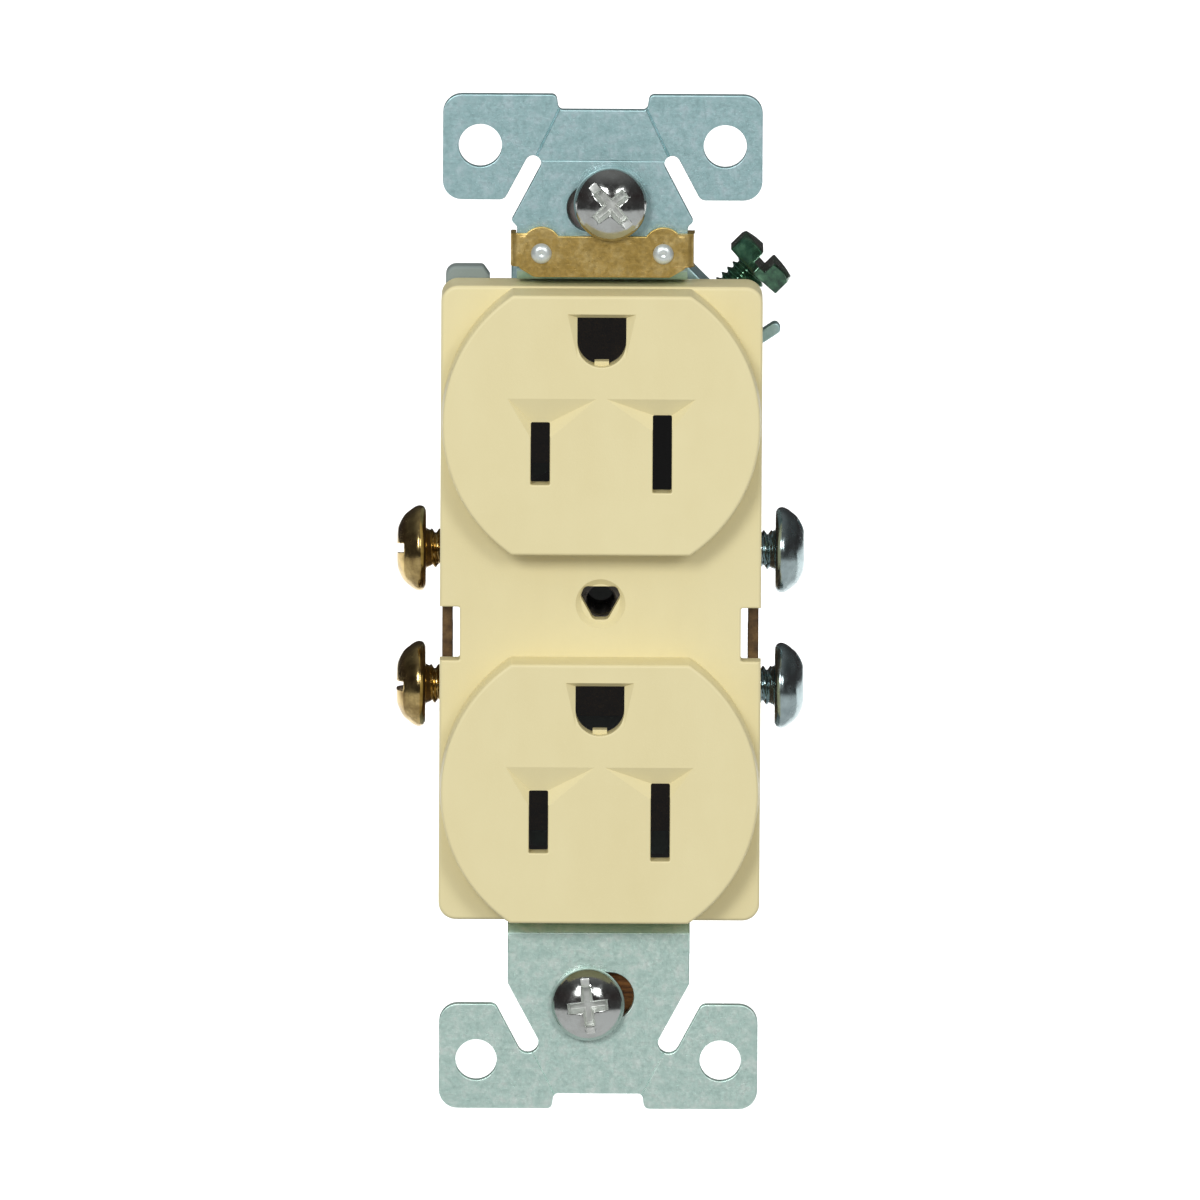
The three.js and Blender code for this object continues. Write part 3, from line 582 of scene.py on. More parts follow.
FACE_PITCH = 38.9
SOCKETS = (FACE_PITCH / 2, -FACE_PITCH / 2)
COVER_FRONT = -1.8
COVER_FLOOR = 0.6
COVER_BACK = 3.7
COVER_CORNER = 1.8
FACE_FRONT = -6.0
FACE_RADIUS = 16.55
FACE_HALF = 13.7
FACE_WALL = 2.4
DRAFT = 0.15
BLADE_X = 6.35
BLADE_Z = -3.0
BLADE_WIDTH = 2.0
BLADE_HEIGHTS = ((-BLADE_X, 6.5), (BLADE_X, 8.1))
FUNNEL_INNER = 0.5
FUNNEL_OUTER = 9.8
FUNNEL_TOP = 2.85
PIN_Z = 8.75
PIN_HALF = 2.55
PIN_TOP = 2.57
NOTCH_LOW = -6.05
NOTCH_HIGH = -0.4
NOTCH_X = 14.65
NOTCH_RELIEF = 1.8


def face_outline(z, margin=0.0):
    """A socket face's outline: a disc cut flat above and below, with eased corners."""
    radius = FACE_RADIUS - margin
    angle = math.degrees(math.asin((FACE_HALF - margin) / radius))
    right = arc((0, z), radius, -angle, angle, 56)
    left = arc((0, z), radius, 180 - angle, 180 + angle, 56)
    ease = [0.5] + [0] * (len(right) - 2) + [0.5]
    return rounded_polygon(right + left, ease + ease)


def pin_outline(z):
    """The ground hole: flat above and round below."""
    bottom = arc((0, z - PIN_TOP + PIN_HALF), PIN_HALF, 180, 360, 28)
    return bottom + [(PIN_HALF, z + PIN_TOP), (-PIN_HALF, z + PIN_TOP)]


def lead_in(deep, sides):
    """A wedge cut from a socket face. Each side has a floor point and the rim points above it."""
    points = []
    for floor, *rims in sides:
        floor = Vector((floor[0], FACE_FRONT + deep, floor[1]))
        points.append(floor)
        for rim in rims:
            rim = Vector((rim[0], FACE_FRONT, rim[1]))
            points.append(rim + (rim - floor) / deep)
    return hull(points)


def blade_funnel(x, z, slot_top):
    """The lead-in that slopes from a wide top edge down to a blade slot."""
    side = math.copysign(1, x)
    reach = side * (BLADE_WIDTH / 2 - 0.012)
    floor = z + slot_top
    edges = ((x - reach, FUNNEL_INNER), (x + reach, FUNNEL_OUTER))
    sides = [((edge, floor), (side * top, z + FUNNEL_TOP), (edge, floor - 1.6)) for edge, top in edges]
    return lead_in(0.9, sides)


def pin_funnel(z):
    """The shallow bevel round the top and sides of a ground hole."""
    top = z + PIN_TOP
    edges = [side * (PIN_HALF - 0.012) for side in (-1, 1)]
    return lead_in(0.8, [((edge, top - 0.012), (edge * 1.41, top + 0.45), (edge, z - 1.6)) for edge in edges])


def raised_face(z):
    """A solid socket face with its two blade slots and its ground hole."""
    fillet = [(inwards, FACE_FRONT + deep) for inwards, deep in quarter(0.33, 7)]
    foot = [(DRAFT, COVER_FRONT + 0.3), (DRAFT - 0.2, COVER_FRONT + 1)]
    face = new_object("face", loft(face_outline(z), fillet + foot))
    back = COVER_FRONT + 2
    for x, height in BLADE_HEIGHTS:
        slot = rounded_rectangle((x, z + BLADE_Z), BLADE_WIDTH, height, 0.15, 2)
        cut(face, blade_funnel(x, z, BLADE_Z + height / 2))
        cut(face, new_object("cutter", loft(slot, mouth_profile(FACE_FRONT, back, 0.16))))
    hole = new_object("cutter", loft(pin_outline(z + PIN_Z), mouth_profile(FACE_FRONT, back, 0.16)))
    sill = z + PIN_Z - PIN_TOP
    cut(hole, block((-0.75, FACE_FRONT + 1, sill - 1), (0.75, back + 1, sill + 0.5)))
    return cut(face, pin_funnel(z + PIN_Z), hole)


def face_hollow(z):
    """The room behind a socket face."""
    back = COVER_FLOOR + 1
    return new_object("cutter", loft(face_outline(z, FACE_WALL), [(0, FACE_FRONT + FACE_WALL), (0, back)]))


def plate_hole_cutters():
    """The three-cornered hole for the wall plate's screw, in its countersink."""
    corners = [(-0.75, -1.75), (0.75, -1.75), (2.1, 0.7), (1.7, 1.75), (-1.7, 1.75), (-2.1, 0.7)]
    hole = loft(rounded_polygon(corners, 0.55, 4), mouth_profile(COVER_FRONT + 0.5, COVER_FLOOR + 1, 0.12))
    steps = ((0.95, -0.6), (0.62, -0.02), (0.5, 0.1), (0, 0.55))
    sink = loft(circle((0, 0), 2.0), [(outwards, COVER_FRONT + deep) for outwards, deep in steps])
    return [new_object("cutter", hole), new_object("cutter", sink)]


def notch_cutter(side):
    corners = [(NOTCH_X, NOTCH_LOW), (20, NOTCH_LOW), (20, NOTCH_HIGH), (NOTCH_X, NOTCH_HIGH)]
    outline = rounded_polygon(corners, [0.24, 0, 0, 0.24], 4)
    if side < 0:
        outline = mirrored(outline)
    notch = new_object("cutter", loft(outline, mouth_profile(COVER_FRONT, COVER_BACK + 1, 0.2)))
    ends = sorted((side * NOTCH_X, side * 20))
    low = (ends[0], COVER_FLOOR - 0.02, NOTCH_LOW - NOTCH_RELIEF)
    return join_solids(notch, block(low, (ends[1], COVER_BACK + 1, NOTCH_HIGH + NOTCH_RELIEF)))


def front_cover():
    low, high = place_of("front_cover")
    width = high.x - low.x
    height = high.z - low.z
    outline = rounded_rectangle((0, 0), width, height, COVER_CORNER, 8)
    cover = new_object("cover_shell", loft(outline, rounded_profile(COVER_FRONT, COVER_BACK, 0.38, 0.12, 7)))
    room = rounded_rectangle((0, 0), width - 3.7, height - 3.7, COVER_CORNER, 4)
    cut(cover, new_object("cutter", loft(room, [(0, COVER_FLOOR), (0, COVER_BACK + 1)])))
    join_solids(cover, *[raised_face(z) for z in SOCKETS])
    boss = new_object("boss", loft(circle((0, 0), 4.6), [(0, COVER_FLOOR - 0.3), (0, 10)]))
    join_solids(cover, boss)
    cutters = [notch_cutter(side) for side in (-1, 1)]
    cutters += [face_hollow(z) for z in SOCKETS]
    cutters += plate_hole_cutters()
    cutters.append(round_cutter((0, 0), 3.3, COVER_FLOOR + 0.5, 11))
    cut(cover, *cutters)
    merge_close(cover)
    smooth(cover, 14)
    return finish_piece(cover, IVORY, "device", "ivory_nylon", "front_cover")


front_cover()

# ---- back body ----

# The CAD body starts at 4.0. This one nearly reaches the cover, to close the seam between them.
BODY_FRONT = 3.73
BODY_BACK = 19.5
BODY_SHOULDER = 30.8
FLANGE_BACK = 6.2
FLANGE_END = 33.0
PAD_HALF = 8.6
PAD_END = 33.3
BODY_SIDE = 15.9
BODY_WAIST = 14.3
BODY_WALL = 1.6
WAIST_LOW = -16.3
WAIST_HIGH = 10.3
TAB_LINE = 43.6
STRAP_THICK = 1.2
GROUND_FOOT = Vector((12.7, 7.8, TAB_LINE - 12.7))
GROUND_OUT = Vector((1, 0, 1)).normalized()
GROUND_LIFT = 4.3
ASSEMBLY_X = 12.3
ASSEMBLY_Z = 27.3
ARM_NEAR = 7.82
ARM_FAR = 12.42
ARM_BACK = 5.2
BAR_HALF = 3.55
BAR_FRONT = 12.6
BAR_BACK = 14.4
TERMINAL_X = 18.25
TERMINAL_Y = 8.2
TERMINAL_MIDDLE = -3.02
TERMINAL_HEIGHTS = (TERMINAL_MIDDLE + 7.18, TERMINAL_MIDDLE - 7.18)


def body_outline(high_end, margin):
    """The body's outline with its ends at a given height, drawn inwards by a margin."""
    side = BODY_SIDE - margin
    waist = BODY_WAIST - margin
    end = high_end - margin
    corner_line = TAB_LINE - math.sqrt(2) * (STRAP_THICK + 0.3 + margin)
    low = WAIST_LOW - margin
    high = WAIST_HIGH + margin
    points = [(-side, -end), (side, -end), (side, low), (waist, low), (waist, high), (side, high)]
    points += [(side, corner_line - side), (corner_line - end, end), (-side, end)]
    points += [(-side, high), (-waist, high), (-waist, low), (-side, low)]
    return points


def rod_cutter(centre, out, radius, length):
    """A round cutter along any line, centred on a point."""
    made = new_object("cutter", loft(circle((0, 0), radius, 32), [(0, -length / 2), (0, length / 2)]))
    return aimed(made, centre, out, 0)


def bar_window(low, high):
    """The slot that the ground contact bar passes through, between two heights."""
    return block((-BAR_HALF, BAR_FRONT, low), (BAR_HALF, BAR_BACK, high))


def body_slab(name, outline, front, back):
    """One level of the body, with eased corners."""
    ease = [1.2, 1.2, 0.6, 0.6, 0.6, 0.6, 0.6, 0.6, 1.2, 0.6, 0.6, 0.6, 0.6]
    loop = rounded_polygon(outline, ease, 4)
    return new_object(name, loft(loop, rounded_profile(front, back, 0.15, 0.35, 4)))


def back_body():
    body = body_slab("body_shell", body_outline(FLANGE_END, 0), BODY_FRONT, FLANGE_BACK)
    deep = body_slab("deep", body_outline(BODY_SHOULDER, 0.02), FLANGE_BACK - 0.7, BODY_BACK)
    pad = rounded_rectangle((0, 0), 2 * PAD_HALF, 2 * PAD_END, 0.5, 4)
    pads = new_object("pads", loft(pad, rounded_profile(BODY_FRONT + 0.02, BODY_BACK - 0.02, 0.15, 0.5, 4)))
    corners = [(-16.3, 27), (-11.7, 27), (-11.7, 33.7), (-12.4, 34.7), (-16.3, 34.7)]
    nub = rounded_polygon(corners, [0, 0, 0.3, 0.5, 1.1], 5)
    nub = new_object("nub", loft(nub, rounded_profile(BODY_FRONT + 0.01, FLANGE_BACK + 0.01, 0.35, 0.3, 4)))
    join_solids(body, deep, pads, nub)
    depths = [(0, BODY_FRONT - 1), (0, BODY_BACK - BODY_WALL)]
    inside = new_object("cutter", loft(body_outline(BODY_SHOULDER, BODY_WALL), depths))
    half = PAD_HALF - BODY_WALL
    end = PAD_END - BODY_WALL
    cut(body, inside, block((-half, BODY_FRONT - 1, -end), (half, BODY_BACK - BODY_WALL, end)))
    posts = []
    cutters = []
    sink = [(0, 17.5), (0, 19.3), (0.25, 19.55), (0.5, 21)]
    for x, z in ((-ASSEMBLY_X, ASSEMBLY_Z), (ASSEMBLY_X, -ASSEMBLY_Z)):
        post = loft(circle((x, z), 3), [(0, BODY_FRONT + 0.03), (0, BODY_BACK - 0.3)])
        posts.append(new_object("post", post))
        cutters.append(round_cutter((x, z), 1.55, BODY_FRONT - 1, BODY_BACK + 1))
        cutters.append(new_object("cutter", loft(circle((x, z), 2.6), sink)))
    for z in TERMINAL_HEIGHTS:
        cutters.append(rod_cutter((0, TERMINAL_Y, z), (1, 0, 0), 2.5, 70))
    for side in (1, -1):
        ends = sorted((TERMINAL_MIDDLE + side * ARM_FAR, TERMINAL_MIDDLE + side * ARM_NEAR))
        cutters.append(block((-30, BODY_FRONT - 1, ends[0]), (30, ARM_BACK, ends[1])))
    cutters.append(rod_cutter(GROUND_FOOT, GROUND_OUT, 2.55, 16))
    cutters.append(bar_window(BODY_SHOULDER - 3, PAD_END + 2))
    join_solids(body, *posts)
    cut(body, *cutters)
    merge_close(body)
    smooth(body)
    return finish_piece(body, GREY, "device", "grey_plastic", "back_body")


back_body()

# ---- mounting strap ----

STRAP_END = 33.9
STRAP_BACK = 19.9
STRAP_HALF = 9.5
STRAP_NECK = 8.9
NECK = {1: STRAP_NECK, -1: STRAP_HALF - 0.015}
NECK_TOP = 39.7
MOUNTING_Z = 41.65
EAR_HALF = 16.65
EAR_LOW = 42.5
EAR_TOP = 53.6
EAR_BUMP = (9.5, 40.3)
EAR_HOLE = {1: (12.75, 48.2, 2.25), -1: (12.75, 48.45, 2.15)}
SLIT_ANGLE = 62
TAB_KNEE = 16
LIP_ANGLE = 34
LIP_LENGTH = 3
SLIT = {1: (7.25, 46.35, 0.82), -1: (7.35, 46.6, 1.1)}


def bent_outline(points, thickness):
    """The outline of sheet bent along a line of points."""
    line = [Vector(point) for point in points]
    left = []
    right = []
    for i, point in enumerate(line):
        before = (point - line[i - 1]).normalized() if i else (line[1] - point).normalized()
        after = (line[i + 1] - point).normalized() if i < len(line) - 1 else before
        along = (before + after).normalized()
        aside = Vector((-along.y, along.x)) * thickness / 2 / along.dot(after)
        left.append(tuple(point + aside))
        right.append(tuple(point - aside))
    return right + left[::-1]


def rounded_line(points, radius, steps=6):
    """An open line with its inner corners rounded."""
    return rounded_polygon(points, [0] + [radius] * (len(points) - 2) + [0], steps)


def flipped(loop):
    """The loop turned over, top to bottom, still anticlockwise."""
    return [(x, -z) for x, z in reversed(loop)]


def ear_outline(neck, slit_x, slit_z, slit_radius):
    """One end's neck and ear, drawn for the upper end, with the slit between them on each side."""
    lean = math.radians(SLIT_ANGLE)
    ear_side = slit_x + (slit_z - EAR_LOW) / math.tan(lean) + slit_radius / math.sin(lean)
    tip = arc((slit_x, slit_z), slit_radius, 270 - SLIT_ANGLE, 90 - SLIT_ANGLE, 12)
    right = [(neck, STRAP_END + 1)]
    radii = [0]
    if neck < EAR_BUMP[0] - 0.1:
        right.append((neck, NECK_TOP))
        radii.append(0.5)
    right += [(min(neck + 0.6, EAR_BUMP[0]), EAR_BUMP[1])] + tip + [(ear_side, EAR_LOW), (EAR_HALF, EAR_LOW)]
    radii += [0.35] + [0] * len(tip) + [0.9, 2.0]
    right += [(EAR_HALF, EAR_TOP), (4.85, EAR_TOP), (4.6, EAR_TOP - 1.6)]
    radii += [2.0, 0.6, 0.5]
    return rounded_polygon(right + mirrored(right), radii + radii[::-1], 7)


def ear_plate(up):
    neck = NECK[up]
    outline = ear_outline(neck, *SLIT[up])
    if up < 0:
        outline = flipped(outline)
    return new_object("ear", loft(outline, rounded_profile(-STRAP_THICK, 0, 0.16, 0.16, 2)))


def sheet_cut(outline, ease=0.14):
    """A cutter through the ears' sheet, flared at both faces."""
    front = mouth_profile(-STRAP_THICK, 0, ease, 2)[:-1]
    back = [(outwards, -STRAP_THICK - y) for outwards, y in reversed(front)]
    return new_object("cutter", loft(outline, front + back))


def groove(low, high, width, deep):
    """V-shaped grooves, front and rear, along a line across the ears' sheet."""
    low = Vector(low)
    high = Vector(high)
    across = Vector((high.y - low.y, low.x - high.x)).normalized() * width
    cutters = []
    for face, out in ((-STRAP_THICK, -1), (0, 1)):
        points = []
        for end in (low, high):
            points.append((end.x, face - out * deep, end.y))
            for way in (across, -across):
                points.append((end.x + way.x, face + out * 0.05, end.y + way.y))
        cutters.append(hull(points))
    return cutters


def ear_cutters(up):
    """The holes of one ear, and the creases where its corners snap off."""
    hole_x, hole_z, radius = EAR_HOLE[up]
    slit_x, slit_z, _ = SLIT[up]
    cutters = []
    for side in (-1, 1):
        cutters.append(sheet_cut(circle((side * hole_x, up * hole_z), radius)))
        low = (side * slit_x, up * slit_z)
        cutters += groove(low, (side * 4.35, up * (EAR_TOP - 1.05)), 0.22, 0.14 if up > 0 else 0.1)
    if up > 0:
        cutters += groove((-slit_x, slit_z + 0.3), (slit_x, slit_z + 0.3), 0.2, 0.07)
    hole = rounded_rectangle((0, up * MOUNTING_Z), 7.4, 5, 2.49, 10)
    return cutters + [sheet_cut(hole)]


def wrap():
    """The run round the device: neck, end, back, end and neck."""
    half = STRAP_THICK / 2
    end = STRAP_END + half
    foot = STRAP_END + 3
    back = STRAP_BACK + half
    route = [(-half, foot), (-half, end), (back, end), (back, -end), (-half, -end), (-half, -foot)]
    outline = bent_outline(rounded_line(route, 1.3), STRAP_THICK)
    outline = list(reversed(outline))
    profile = rounded_profile(-STRAP_HALF, STRAP_HALF, 0.16, 0.16, 2)
    return new_object("mounting_strap_fine", loft(outline, profile, facing_side))


def ground_tab():
    """The ground terminal, bent down from the strap's upper end, with its wire lip."""
    middle = STRAP_END + STRAP_THICK / 2
    line = TAB_LINE - STRAP_THICK / math.sqrt(2)
    lip = math.radians(LIP_ANGLE)
    knee = line - TAB_KNEE
    route = [(5.9, middle), (line - middle, middle), (TAB_KNEE, knee)]
    route.append((TAB_KNEE + LIP_LENGTH * math.cos(lip), knee + LIP_LENGTH * math.sin(lip)))
    outline = bent_outline(rounded_line(route, 1.0), STRAP_THICK - 0.02)
    tip = len(outline) // 2
    outline = rounded_polygon(outline, [0.5 if i in (tip - 1, tip) else 0 for i in range(len(outline))], 4)
    tab = new_object("tab", loft(outline, rounded_profile(4.5, 11.1, 0.18, 0.18, 2)))
    return cut(tab, rod_cutter(GROUND_FOOT, GROUND_OUT, 2.2, 5), block((16, 6.3, 20), (22, 14, 40)))


def mounting_strap():
    strap = wrap()
    side = STRAP_NECK - 0.015
    cutters = [block((-14, -3, STRAP_END - 1), (-side, STRAP_BACK - 1, NECK_TOP))]
    cutters.append(block((side, -3, STRAP_END - 1), (14, STRAP_BACK - 1, NECK_TOP)))
    cutters.append(bar_window(30, 40))
    cut(strap, *cutters)
    upper = cut(ear_plate(1), *ear_cutters(1))
    lower = cut(ear_plate(-1), *ear_cutters(-1))
    join_solids(strap, upper, lower, ground_tab())
    merge_close(strap)
    smooth(strap)
    return finish_piece(strap, ZINC, "device", "zinc_steel", "mounting_strap")


mounting_strap()

# ---- brass grounding plate and its rivets ----

PLATE_FRONT = -2.1
PLATE_SHEET = 0.6
RIVET_X = 6.35
RIVET_Z = 37.0
RIVET_HEAD = [(0, -2.48), (0.12, -2.5), (0.22, -2.57), (0.5, -2.58), (0.85, -2.46), (1.03, -2.28)]
RIVET_SHANK = [(1.08, -2.15), (0.75, -2.15), (0.75, 1.15), (1.08, 1.15), (1.03, 1.38), (0.6, 1.6)]
RIVET_SHANK += [(0.2, 1.45), (0, 1.42)]


def grounding_plate():
    """A thin plate over the neck, with round lobes above its rivets and wings bent back."""
    right = [(7.1, 34.5), (8.7, 35.45), (8.7, 38.8)] + arc((RIVET_X, 37.7), 2.1, 32, 148, 14)
    left = [(-x, z) for x, z in reversed(right)]
    radii = [0.8, 0.5, 0.2] + [0] * 15
    outline = rounded_polygon(right + left, radii + radii[::-1], 4)
    back = PLATE_FRONT + PLATE_SHEET
    profile = rounded_profile(PLATE_FRONT, back, 0.14, 0.1, 2)
    plate = new_object("grounding_plate_fine", loft(outline, profile))
    wings = []
    for side in (-1, 1):
        middle = PLATE_FRONT + PLATE_SHEET / 2
        route = [(side * 7.5, middle), (side * 9.25, middle), (side * 9.25, STRAP_THICK / 2)]
        outline = bent_outline(rounded_line(route, 0.55), PLATE_SHEET - 0.02)
        if side > 0:
            outline = list(reversed(outline))
        bm = loft(outline, rounded_profile(35.6, 39.1, 0.1, 0.1, 2), lambda x, y, z: (x, y, z))
        wings.append(new_object("wing", bm))
    join_solids(plate, *wings)
    cut(plate, *[round_cutter((x, RIVET_Z), 1.0, PLATE_FRONT, 1, 0.05, 32) for x in (-RIVET_X, RIVET_X)])
    merge_close(plate)
    smooth(plate)
    return finish_piece(plate, BRASS, "device", "sheet_brass", "grounding_plate")


grounding_plate()


def rivet(side):
    """A semi-tubular rivet: a low dome with a dimple in front, clenched behind."""
    name = "left" if side < 0 else "right"
    made = new_object(f"ground_rivet_{name}_fine", turned(RIVET_HEAD + RIVET_SHANK, 40))
    made.data.transform(Matrix.Translation(Vector((side * RIVET_X, 0, RIVET_Z)) * MM))
    smooth(made, 50)
    return finish_piece(made, RIVETED, "device", "bright_steel", f"ground_rivet_{name}")


rivet(-1)
rivet(1)

# ---- screws ----

PITCH = 0.794
MOUNTING_SCREWS = (("upper", 0.85, 42.35), ("lower", -1.1, -42.35))


def threaded_rod(radius, start, end, depth=0.42, steps=40, per_turn=8):
    """A closed rod along +Y with a right-hand thread that fades into its tip."""
    count = math.ceil((end - start) / PITCH * per_turn)
    bm = bmesh.new()
    rings = []
    for i in range(count + 1):
        y = start + (end - start) * i / count
        point = min(1, (end - y) / 0.8)
        ring = []
        for k in range(steps):
            phase = (y / PITCH + k / steps) % 1
            crest = min(1, max(0, abs(2 * phase - 1) * 1.5 - 0.3))
            r = min(radius - depth * (1 - crest), radius - depth * 1.1 * (1 - point))
            angle = 2 * math.pi * k / steps
            ring.append(bm.verts.new((r * math.cos(angle), y, r * math.sin(angle))))
        rings.append(ring)
    for near, far in zip(rings, rings[1:]):
        for k in range(steps):
            j = (k + 1) % steps
            bm.faces.new((near[k], near[j], far[j], far[k]))
    bm.faces.new(rings[0])
    bm.faces.new(list(reversed(rings[-1])))
    return new_object("thread", close(bm))


def cross_outline(wing, half):
    """A plus-shaped outline."""
    quarter_points = [(wing, -half), (wing, half), (half, half)]
    loop = []
    for i in range(4):
        spin = Matrix.Rotation(math.radians(90 * i), 2)
        loop += [tuple(spin @ Vector(point)) for point in quarter_points]
    return loop


# Half outlines of the heads, as (radius, y) points.
TERMINAL_HEAD = [(0, -3.05), (1.7, -3.0), (2.5, -2.8), (3.4, -2.3), (3.9, -1.75), (4.3, -1.2)]
TERMINAL_HEAD += [(4.47, -0.7), (4.34, -0.25), (3.95, 0)]
BOX_HEAD = [(0, -2.5), (1.3, -2.4), (2.4, -2.02), (3.2, -1.5), (3.7, -0.95), (3.85, -0.5), (3.75, 0)]
CASE_HEAD = [(0, -1.6), (0.8, -1.53), (1.5, -1.25), (2.1, -0.7), (2.3, -0.35), (2.25, 0)]


def two_looks(target, looks, index):
    """Gives an object two materials, with all of its faces in one of them."""
    for look in looks:
        target.data.materials.append(look)
    for face in target.data.polygons:
        face.material_index = index
    return target


def slotted_screw(name, looks, head, shank, long, slot, deep, recess=0.0):
    """A screw that heads towards -Y, its underside at the origin, with a slot and maybe a cross."""
    neck = [(shank + 0.2, 0), (shank, 0.1), (shank - 0.12, 0.4), (shank - 0.3, 0.7), (0, 0.7)]
    screw = two_looks(new_object(name, turned(through(head) + neck, 72)), looks, 0)
    front = head[0][1]
    reach = 2 * max(radius for radius, _ in head)
    cut(screw, two_looks(block((-reach, front - 1, -slot / 2), (reach, front + deep, slot / 2)), looks, 1))
    if recess:
        floor = front + 1.6 * deep
        steps = [(0.1, front - 0.3), (-0.1, floor - 0.2), (-0.25, floor + 0.4)]
        cross = new_object("cutter", loft(cross_outline(recess, slot * 0.62), steps))
        cut(screw, two_looks(cross, looks, 1))
    merge_close(screw)
    soften(screw, 0.06, 2)
    join_solids(screw, two_looks(threaded_rod(shank, 0.3, long), looks, 0))
    smooth(screw, 40)
    return screw


def terminal_screws():
    for side, pole, look, slot, spin in (
        (-1, "hot", BRASS_SCREW, "screw_brass", -9.5),
        (1, "neutral", NICKEL, "bright_steel", 80),
    ):
        for i, z in enumerate(TERMINAL_HEIGHTS):
            level = ("upper", "lower")[i]
            node = f"terminal_screw_{pole}_{level}"
            made = slotted_screw(node + "_fine", (look, look), TERMINAL_HEAD, 2.05, 6.95, 0.9, 0.75)
            aimed(made, (side * TERMINAL_X, TERMINAL_Y, z), (side, 0, 0), spin + 5 * i)
            finish_piece(made, None, f"{pole}_{level}_screw", slot, node)


terminal_screws()


def mounting_screws():
    for (level, x, z), under, spin in zip(MOUNTING_SCREWS, (-2.4, -1.5), (48, 83)):
        node = f"mounting_screw_{level}"
        # The slot and cross faces take the lighter steel, painted light on their floors.
        made = slotted_screw(node + "_fine", (BRIGHT, RECESS_PAINTED_LIGHT), BOX_HEAD, 1.72, 25.4, 0.88, 0.8, 2.1)
        aimed(made, (x, under, z), (0, -1, 0), spin)
        finish_piece(made, None, f"{level}_mounting_screw", "bright_steel", node)


mounting_screws()


def assembly_screws():
    for level, side in (("upper", -1), ("lower", 1)):
        node = f"assembly_screw_{level}"
        made = slotted_screw(node + "_fine", (BRIGHT, RECESS_PAINTED_LIGHT), CASE_HEAD, 1.25, 16, 0.7, 0.55, 1.2)
        aimed(made, (side * ASSEMBLY_X, 17.8, -side * ASSEMBLY_Z), (0, 1, 0), 30)
        finish_piece(made, None, "device", "bright_steel", node)


assembly_screws()


def ground_screw():
    """The hexagonal green screw, slotted, with its corners chamfered."""
    radius = 3.85
    high = 2.35
    flats = radius * math.sqrt(3) / 2
    hexagon = rounded_polygon(circle((0, 0), radius, 6), 0.3, 3)
    screw = new_object("ground_screw_fine", loft(hexagon, [(0, -high), (0, 0)]))
    chamfer = [(0, -high - 0.02), (flats * 0.82, -high - 0.01), (flats, -high + 0.12)]
    chamfer += [(radius + 0.3, -high + 1.0), (radius + 0.3, -0.2), (radius - 0.15, 0.01), (0, 0.01)]
    cone = new_object("cutter", turned(chamfer, 64))
    combine(screw, [cone], "INTERSECT")
    cut(screw, block((-radius - 1, -high - 1, -0.8), (radius + 1, -high * 0.4, 0.8)))
    merge_close(screw, 0.02)
    soften(screw, 0.08, 2, 40)
    overlay(screw, threaded_rod(2.05, -0.6, 8))
    smooth(screw, 40)
    aimed(screw, GROUND_FOOT + GROUND_OUT * GROUND_LIFT, GROUND_OUT, 135)
    return finish_piece(screw, GREEN, "ground_terminal_screw", "green_steel", "ground_screw")


ground_screw()

# ---- washers, bush and the pieces that keep their CAD shape ----


def retaining_washers():
    for (level, x, z), look, slot in zip(MOUNTING_SCREWS, (WASHER, FIBRE), ("dark_steel", "fibre")):
        node = f"retaining_washer_{level}"
        outline = rounded_rectangle((x, z), 10, 7, 1.2, 6)
        made = new_object(node + "_fine", loft(outline, rounded_profile(0.3, 1.1, 0.12, 0.12, 2)))
        cut(made, round_cutter((x, z), 1.95, 0.3, 2, 0.1))
        smooth(made)
        finish_piece(made, look, "device", slot, node)


retaining_washers()


def plate_bush():
    profile = [(0, 0.9), (2.6, 0.9), (3.0, 1.2), (3.0, 9.4), (2.8, 9.6), (0, 9.6)]
    bush = new_object("plate_screw_bush_fine", turned(profile, 48))
    cut(bush, threaded_rod(1.75, -1, 12, 0.28))
    merge_close(bush)
    smooth(bush)
    return finish_piece(bush, STEEL, "device", "dark_steel", "plate_screw_bush")


plate_bush()

# The insulators are black plastic; the contact bars take the brass darkened as painted shade.
KEPT = {
    "inner_insulator_upper": (BLACK, "black_plastic"),
    "inner_insulator_lower": (BLACK, "black_plastic"),
    "ground_contact_bar": (BRASS_PAINTED_SHADE, "sheet_brass"),
    "hot_contact_bar": (BRASS_PAINTED_SHADE, "sheet_brass"),
    "neutral_contact_bar": (BRASS_PAINTED_SHADE, "sheet_brass"),
}
for node, (look, slot) in KEPT.items():
    finish_piece(refined_copy(node, 0.1), look, "device", slot, node)

# ---- floor, world and lights ----

FLOOR_Z = -0.3
FLOOR_HALF = 3.0
FLOOR_FRONT = 0.3
FLOOR_BACK = 4.5


def add_floor():
    """A pale floor, mostly behind the outlet so that little light comes up from in front."""
    look = Look("floor", specular=0.1)
    tone = look.ramp(look.noise(900, 2), (0.3, (0.9, 0.9, 0.9)), (0.7, (0.93, 0.93, 0.93)))
    bm = bmesh.new()
    corners = [(-1, FLOOR_FRONT), (1, FLOOR_FRONT), (1, FLOOR_BACK), (-1, FLOOR_BACK)]
    bm.faces.new([bm.verts.new((x * FLOOR_HALF / MM, y / MM, FLOOR_Z / MM)) for x, y in corners])
    floor = new_object("floor", bm)
    floor.data.materials.append(look.finish(tone, look.spread(look.noise(50), 0.8, 0.9)))
    return floor


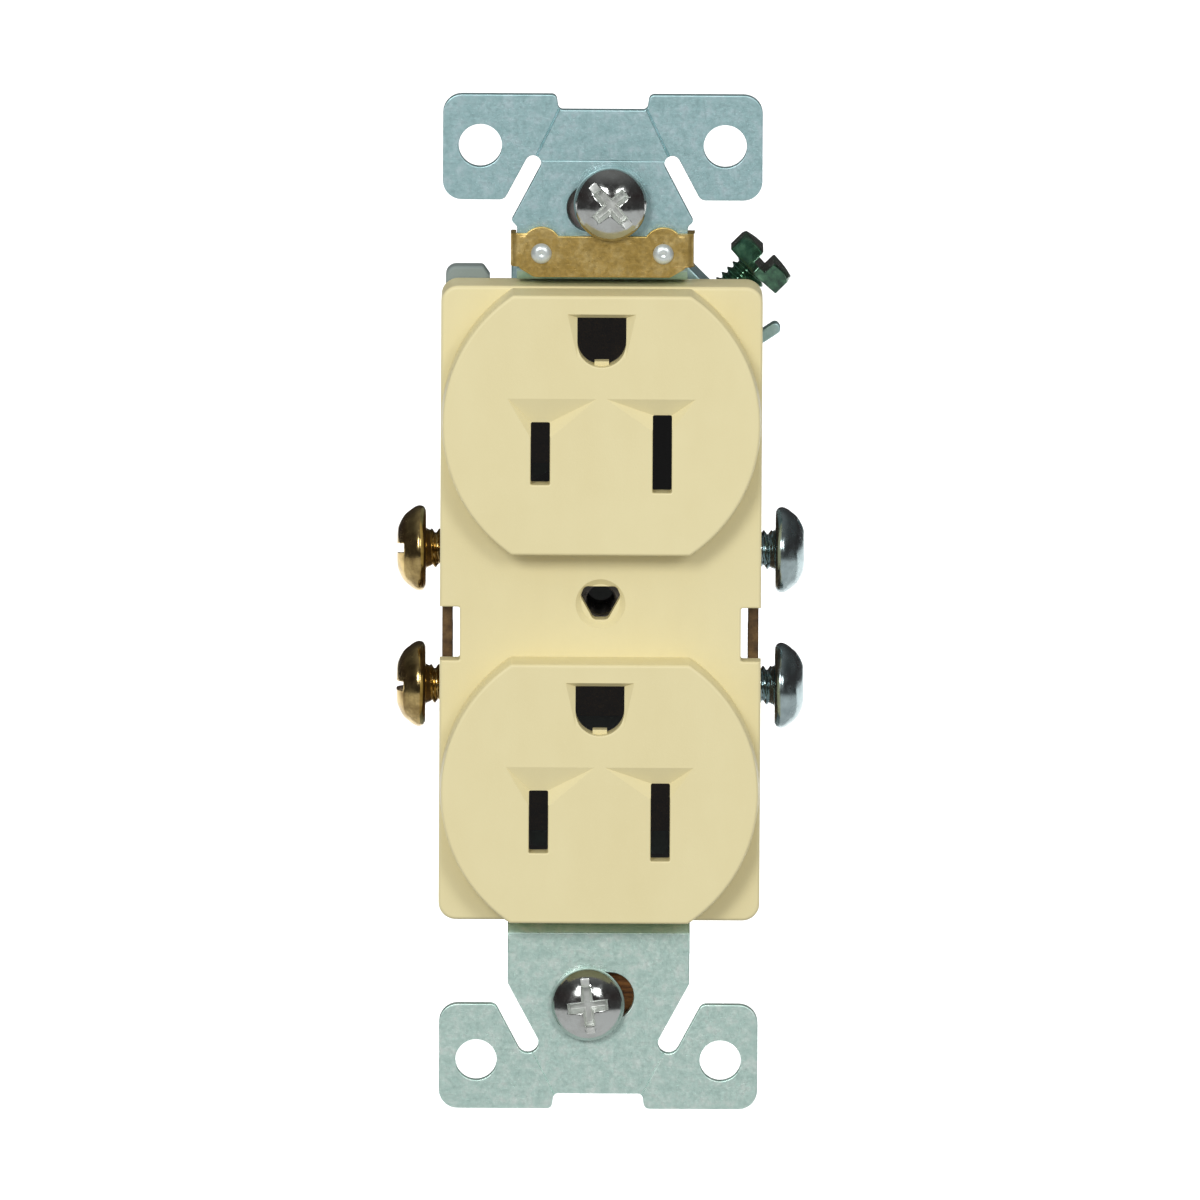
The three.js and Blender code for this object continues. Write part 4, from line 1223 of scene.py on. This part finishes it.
def add_world(reflected, diffuse):
    """A studio that is white to the camera, with its own gradients for reflections and soft light.

    A gradient is (position, value) stops from straight down at 0 to straight up at 1."""
    world = bpy.data.worlds.new("studio")
    bpy.context.scene.world = world
    world.use_nodes = True
    tree = world.node_tree
    tree.nodes.clear()

    def node(kind, **inputs):
        made = tree.nodes.new("ShaderNode" + kind)
        for socket, value in inputs.items():
            place = made.inputs[int(socket[1:]) if socket[1:].isdigit() else socket]
            if isinstance(value, bpy.types.NodeSocket):
                tree.links.new(value, place)
            else:
                place.default_value = value
        return made

    up = node("SeparateXYZ", Vector=node("TexCoord").outputs["Generated"]).outputs["Z"]
    height = node("MapRange", Value=up, i1=-1.0).outputs[0]

    def gradient(stops):
        made = node("ValToRGB", Fac=height)
        elements = made.color_ramp.elements
        while len(elements) < len(stops):
            elements.new(0.5)
        for element, (position, value) in zip(elements, stops):
            element.position = position
            element.color = (*value, 1) if isinstance(value, tuple) else (value, value, value, 1)
        return made.outputs["Color"]

    def choose(factor, first, second):
        made = tree.nodes.new("ShaderNodeMix")
        made.data_type = "RGBA"
        tree.links.new(factor, made.inputs[0])
        for place, value in ((made.inputs[6], first), (made.inputs[7], second)):
            if isinstance(value, bpy.types.NodeSocket):
                tree.links.new(value, place)
            else:
                place.default_value = value
        return made.outputs[2]

    path = node("LightPath").outputs
    shade = choose(path["Is Glossy Ray"], gradient(diffuse), gradient(reflected))
    shade = choose(path["Is Camera Ray"], shade, (1, 1, 1, 1))
    background = node("Background", Color=shade)
    tree.links.new(background.outputs[0], node("OutputWorld").inputs["Surface"])


def add_softbox(name, place, aim, width, height, power):
    data = bpy.data.lights.new(name, "AREA")
    data.shape = "RECTANGLE"
    data.size = width
    data.size_y = height
    data.energy = power
    light = bpy.data.objects.new(name, data)
    bpy.context.scene.collection.objects.link(light)
    light.location = place
    light.rotation_euler = (Vector(aim) - Vector(place)).to_track_quat("-Z", "Y").to_euler()
    return light


def light_only(light, target):
    """Lets a light fall on one object and nothing else."""
    receivers = bpy.data.collections.new("lit by " + light.name)
    receivers.objects.link(target)
    light.light_linking.receiver_collection = receivers


floor = add_floor()
DARK_SIDE = (0.034, 0.027, 0.027)
add_world(
    reflected=((0.0, 0.62), (0.34, 0.58), (0.365, 0.05), (0.6, DARK_SIDE), (0.8, 0.06), (1.0, 0.2)),
    diffuse=((0.0, 0.2), (0.42, 0.43), (0.52, 0.64), (0.66, 0.7), (0.85, 0.6), (1.0, 0.36)),
)
add_softbox("key", (-0.45, -1.4, 0.65), (0, 0, 0), 0.42, 0.42, 9.4)
add_softbox("fill", (0.55, -1.4, 0.6), (0, 0, 0), 0.38, 0.38, 5.0)
light_only(add_softbox("floor_wash", (0, 2.0, 2.2), (0, 1.9, FLOOR_Z), 3.0, 3.0, 90), floor)

bpy.context.scene.view_settings.view_transform = "Standard"
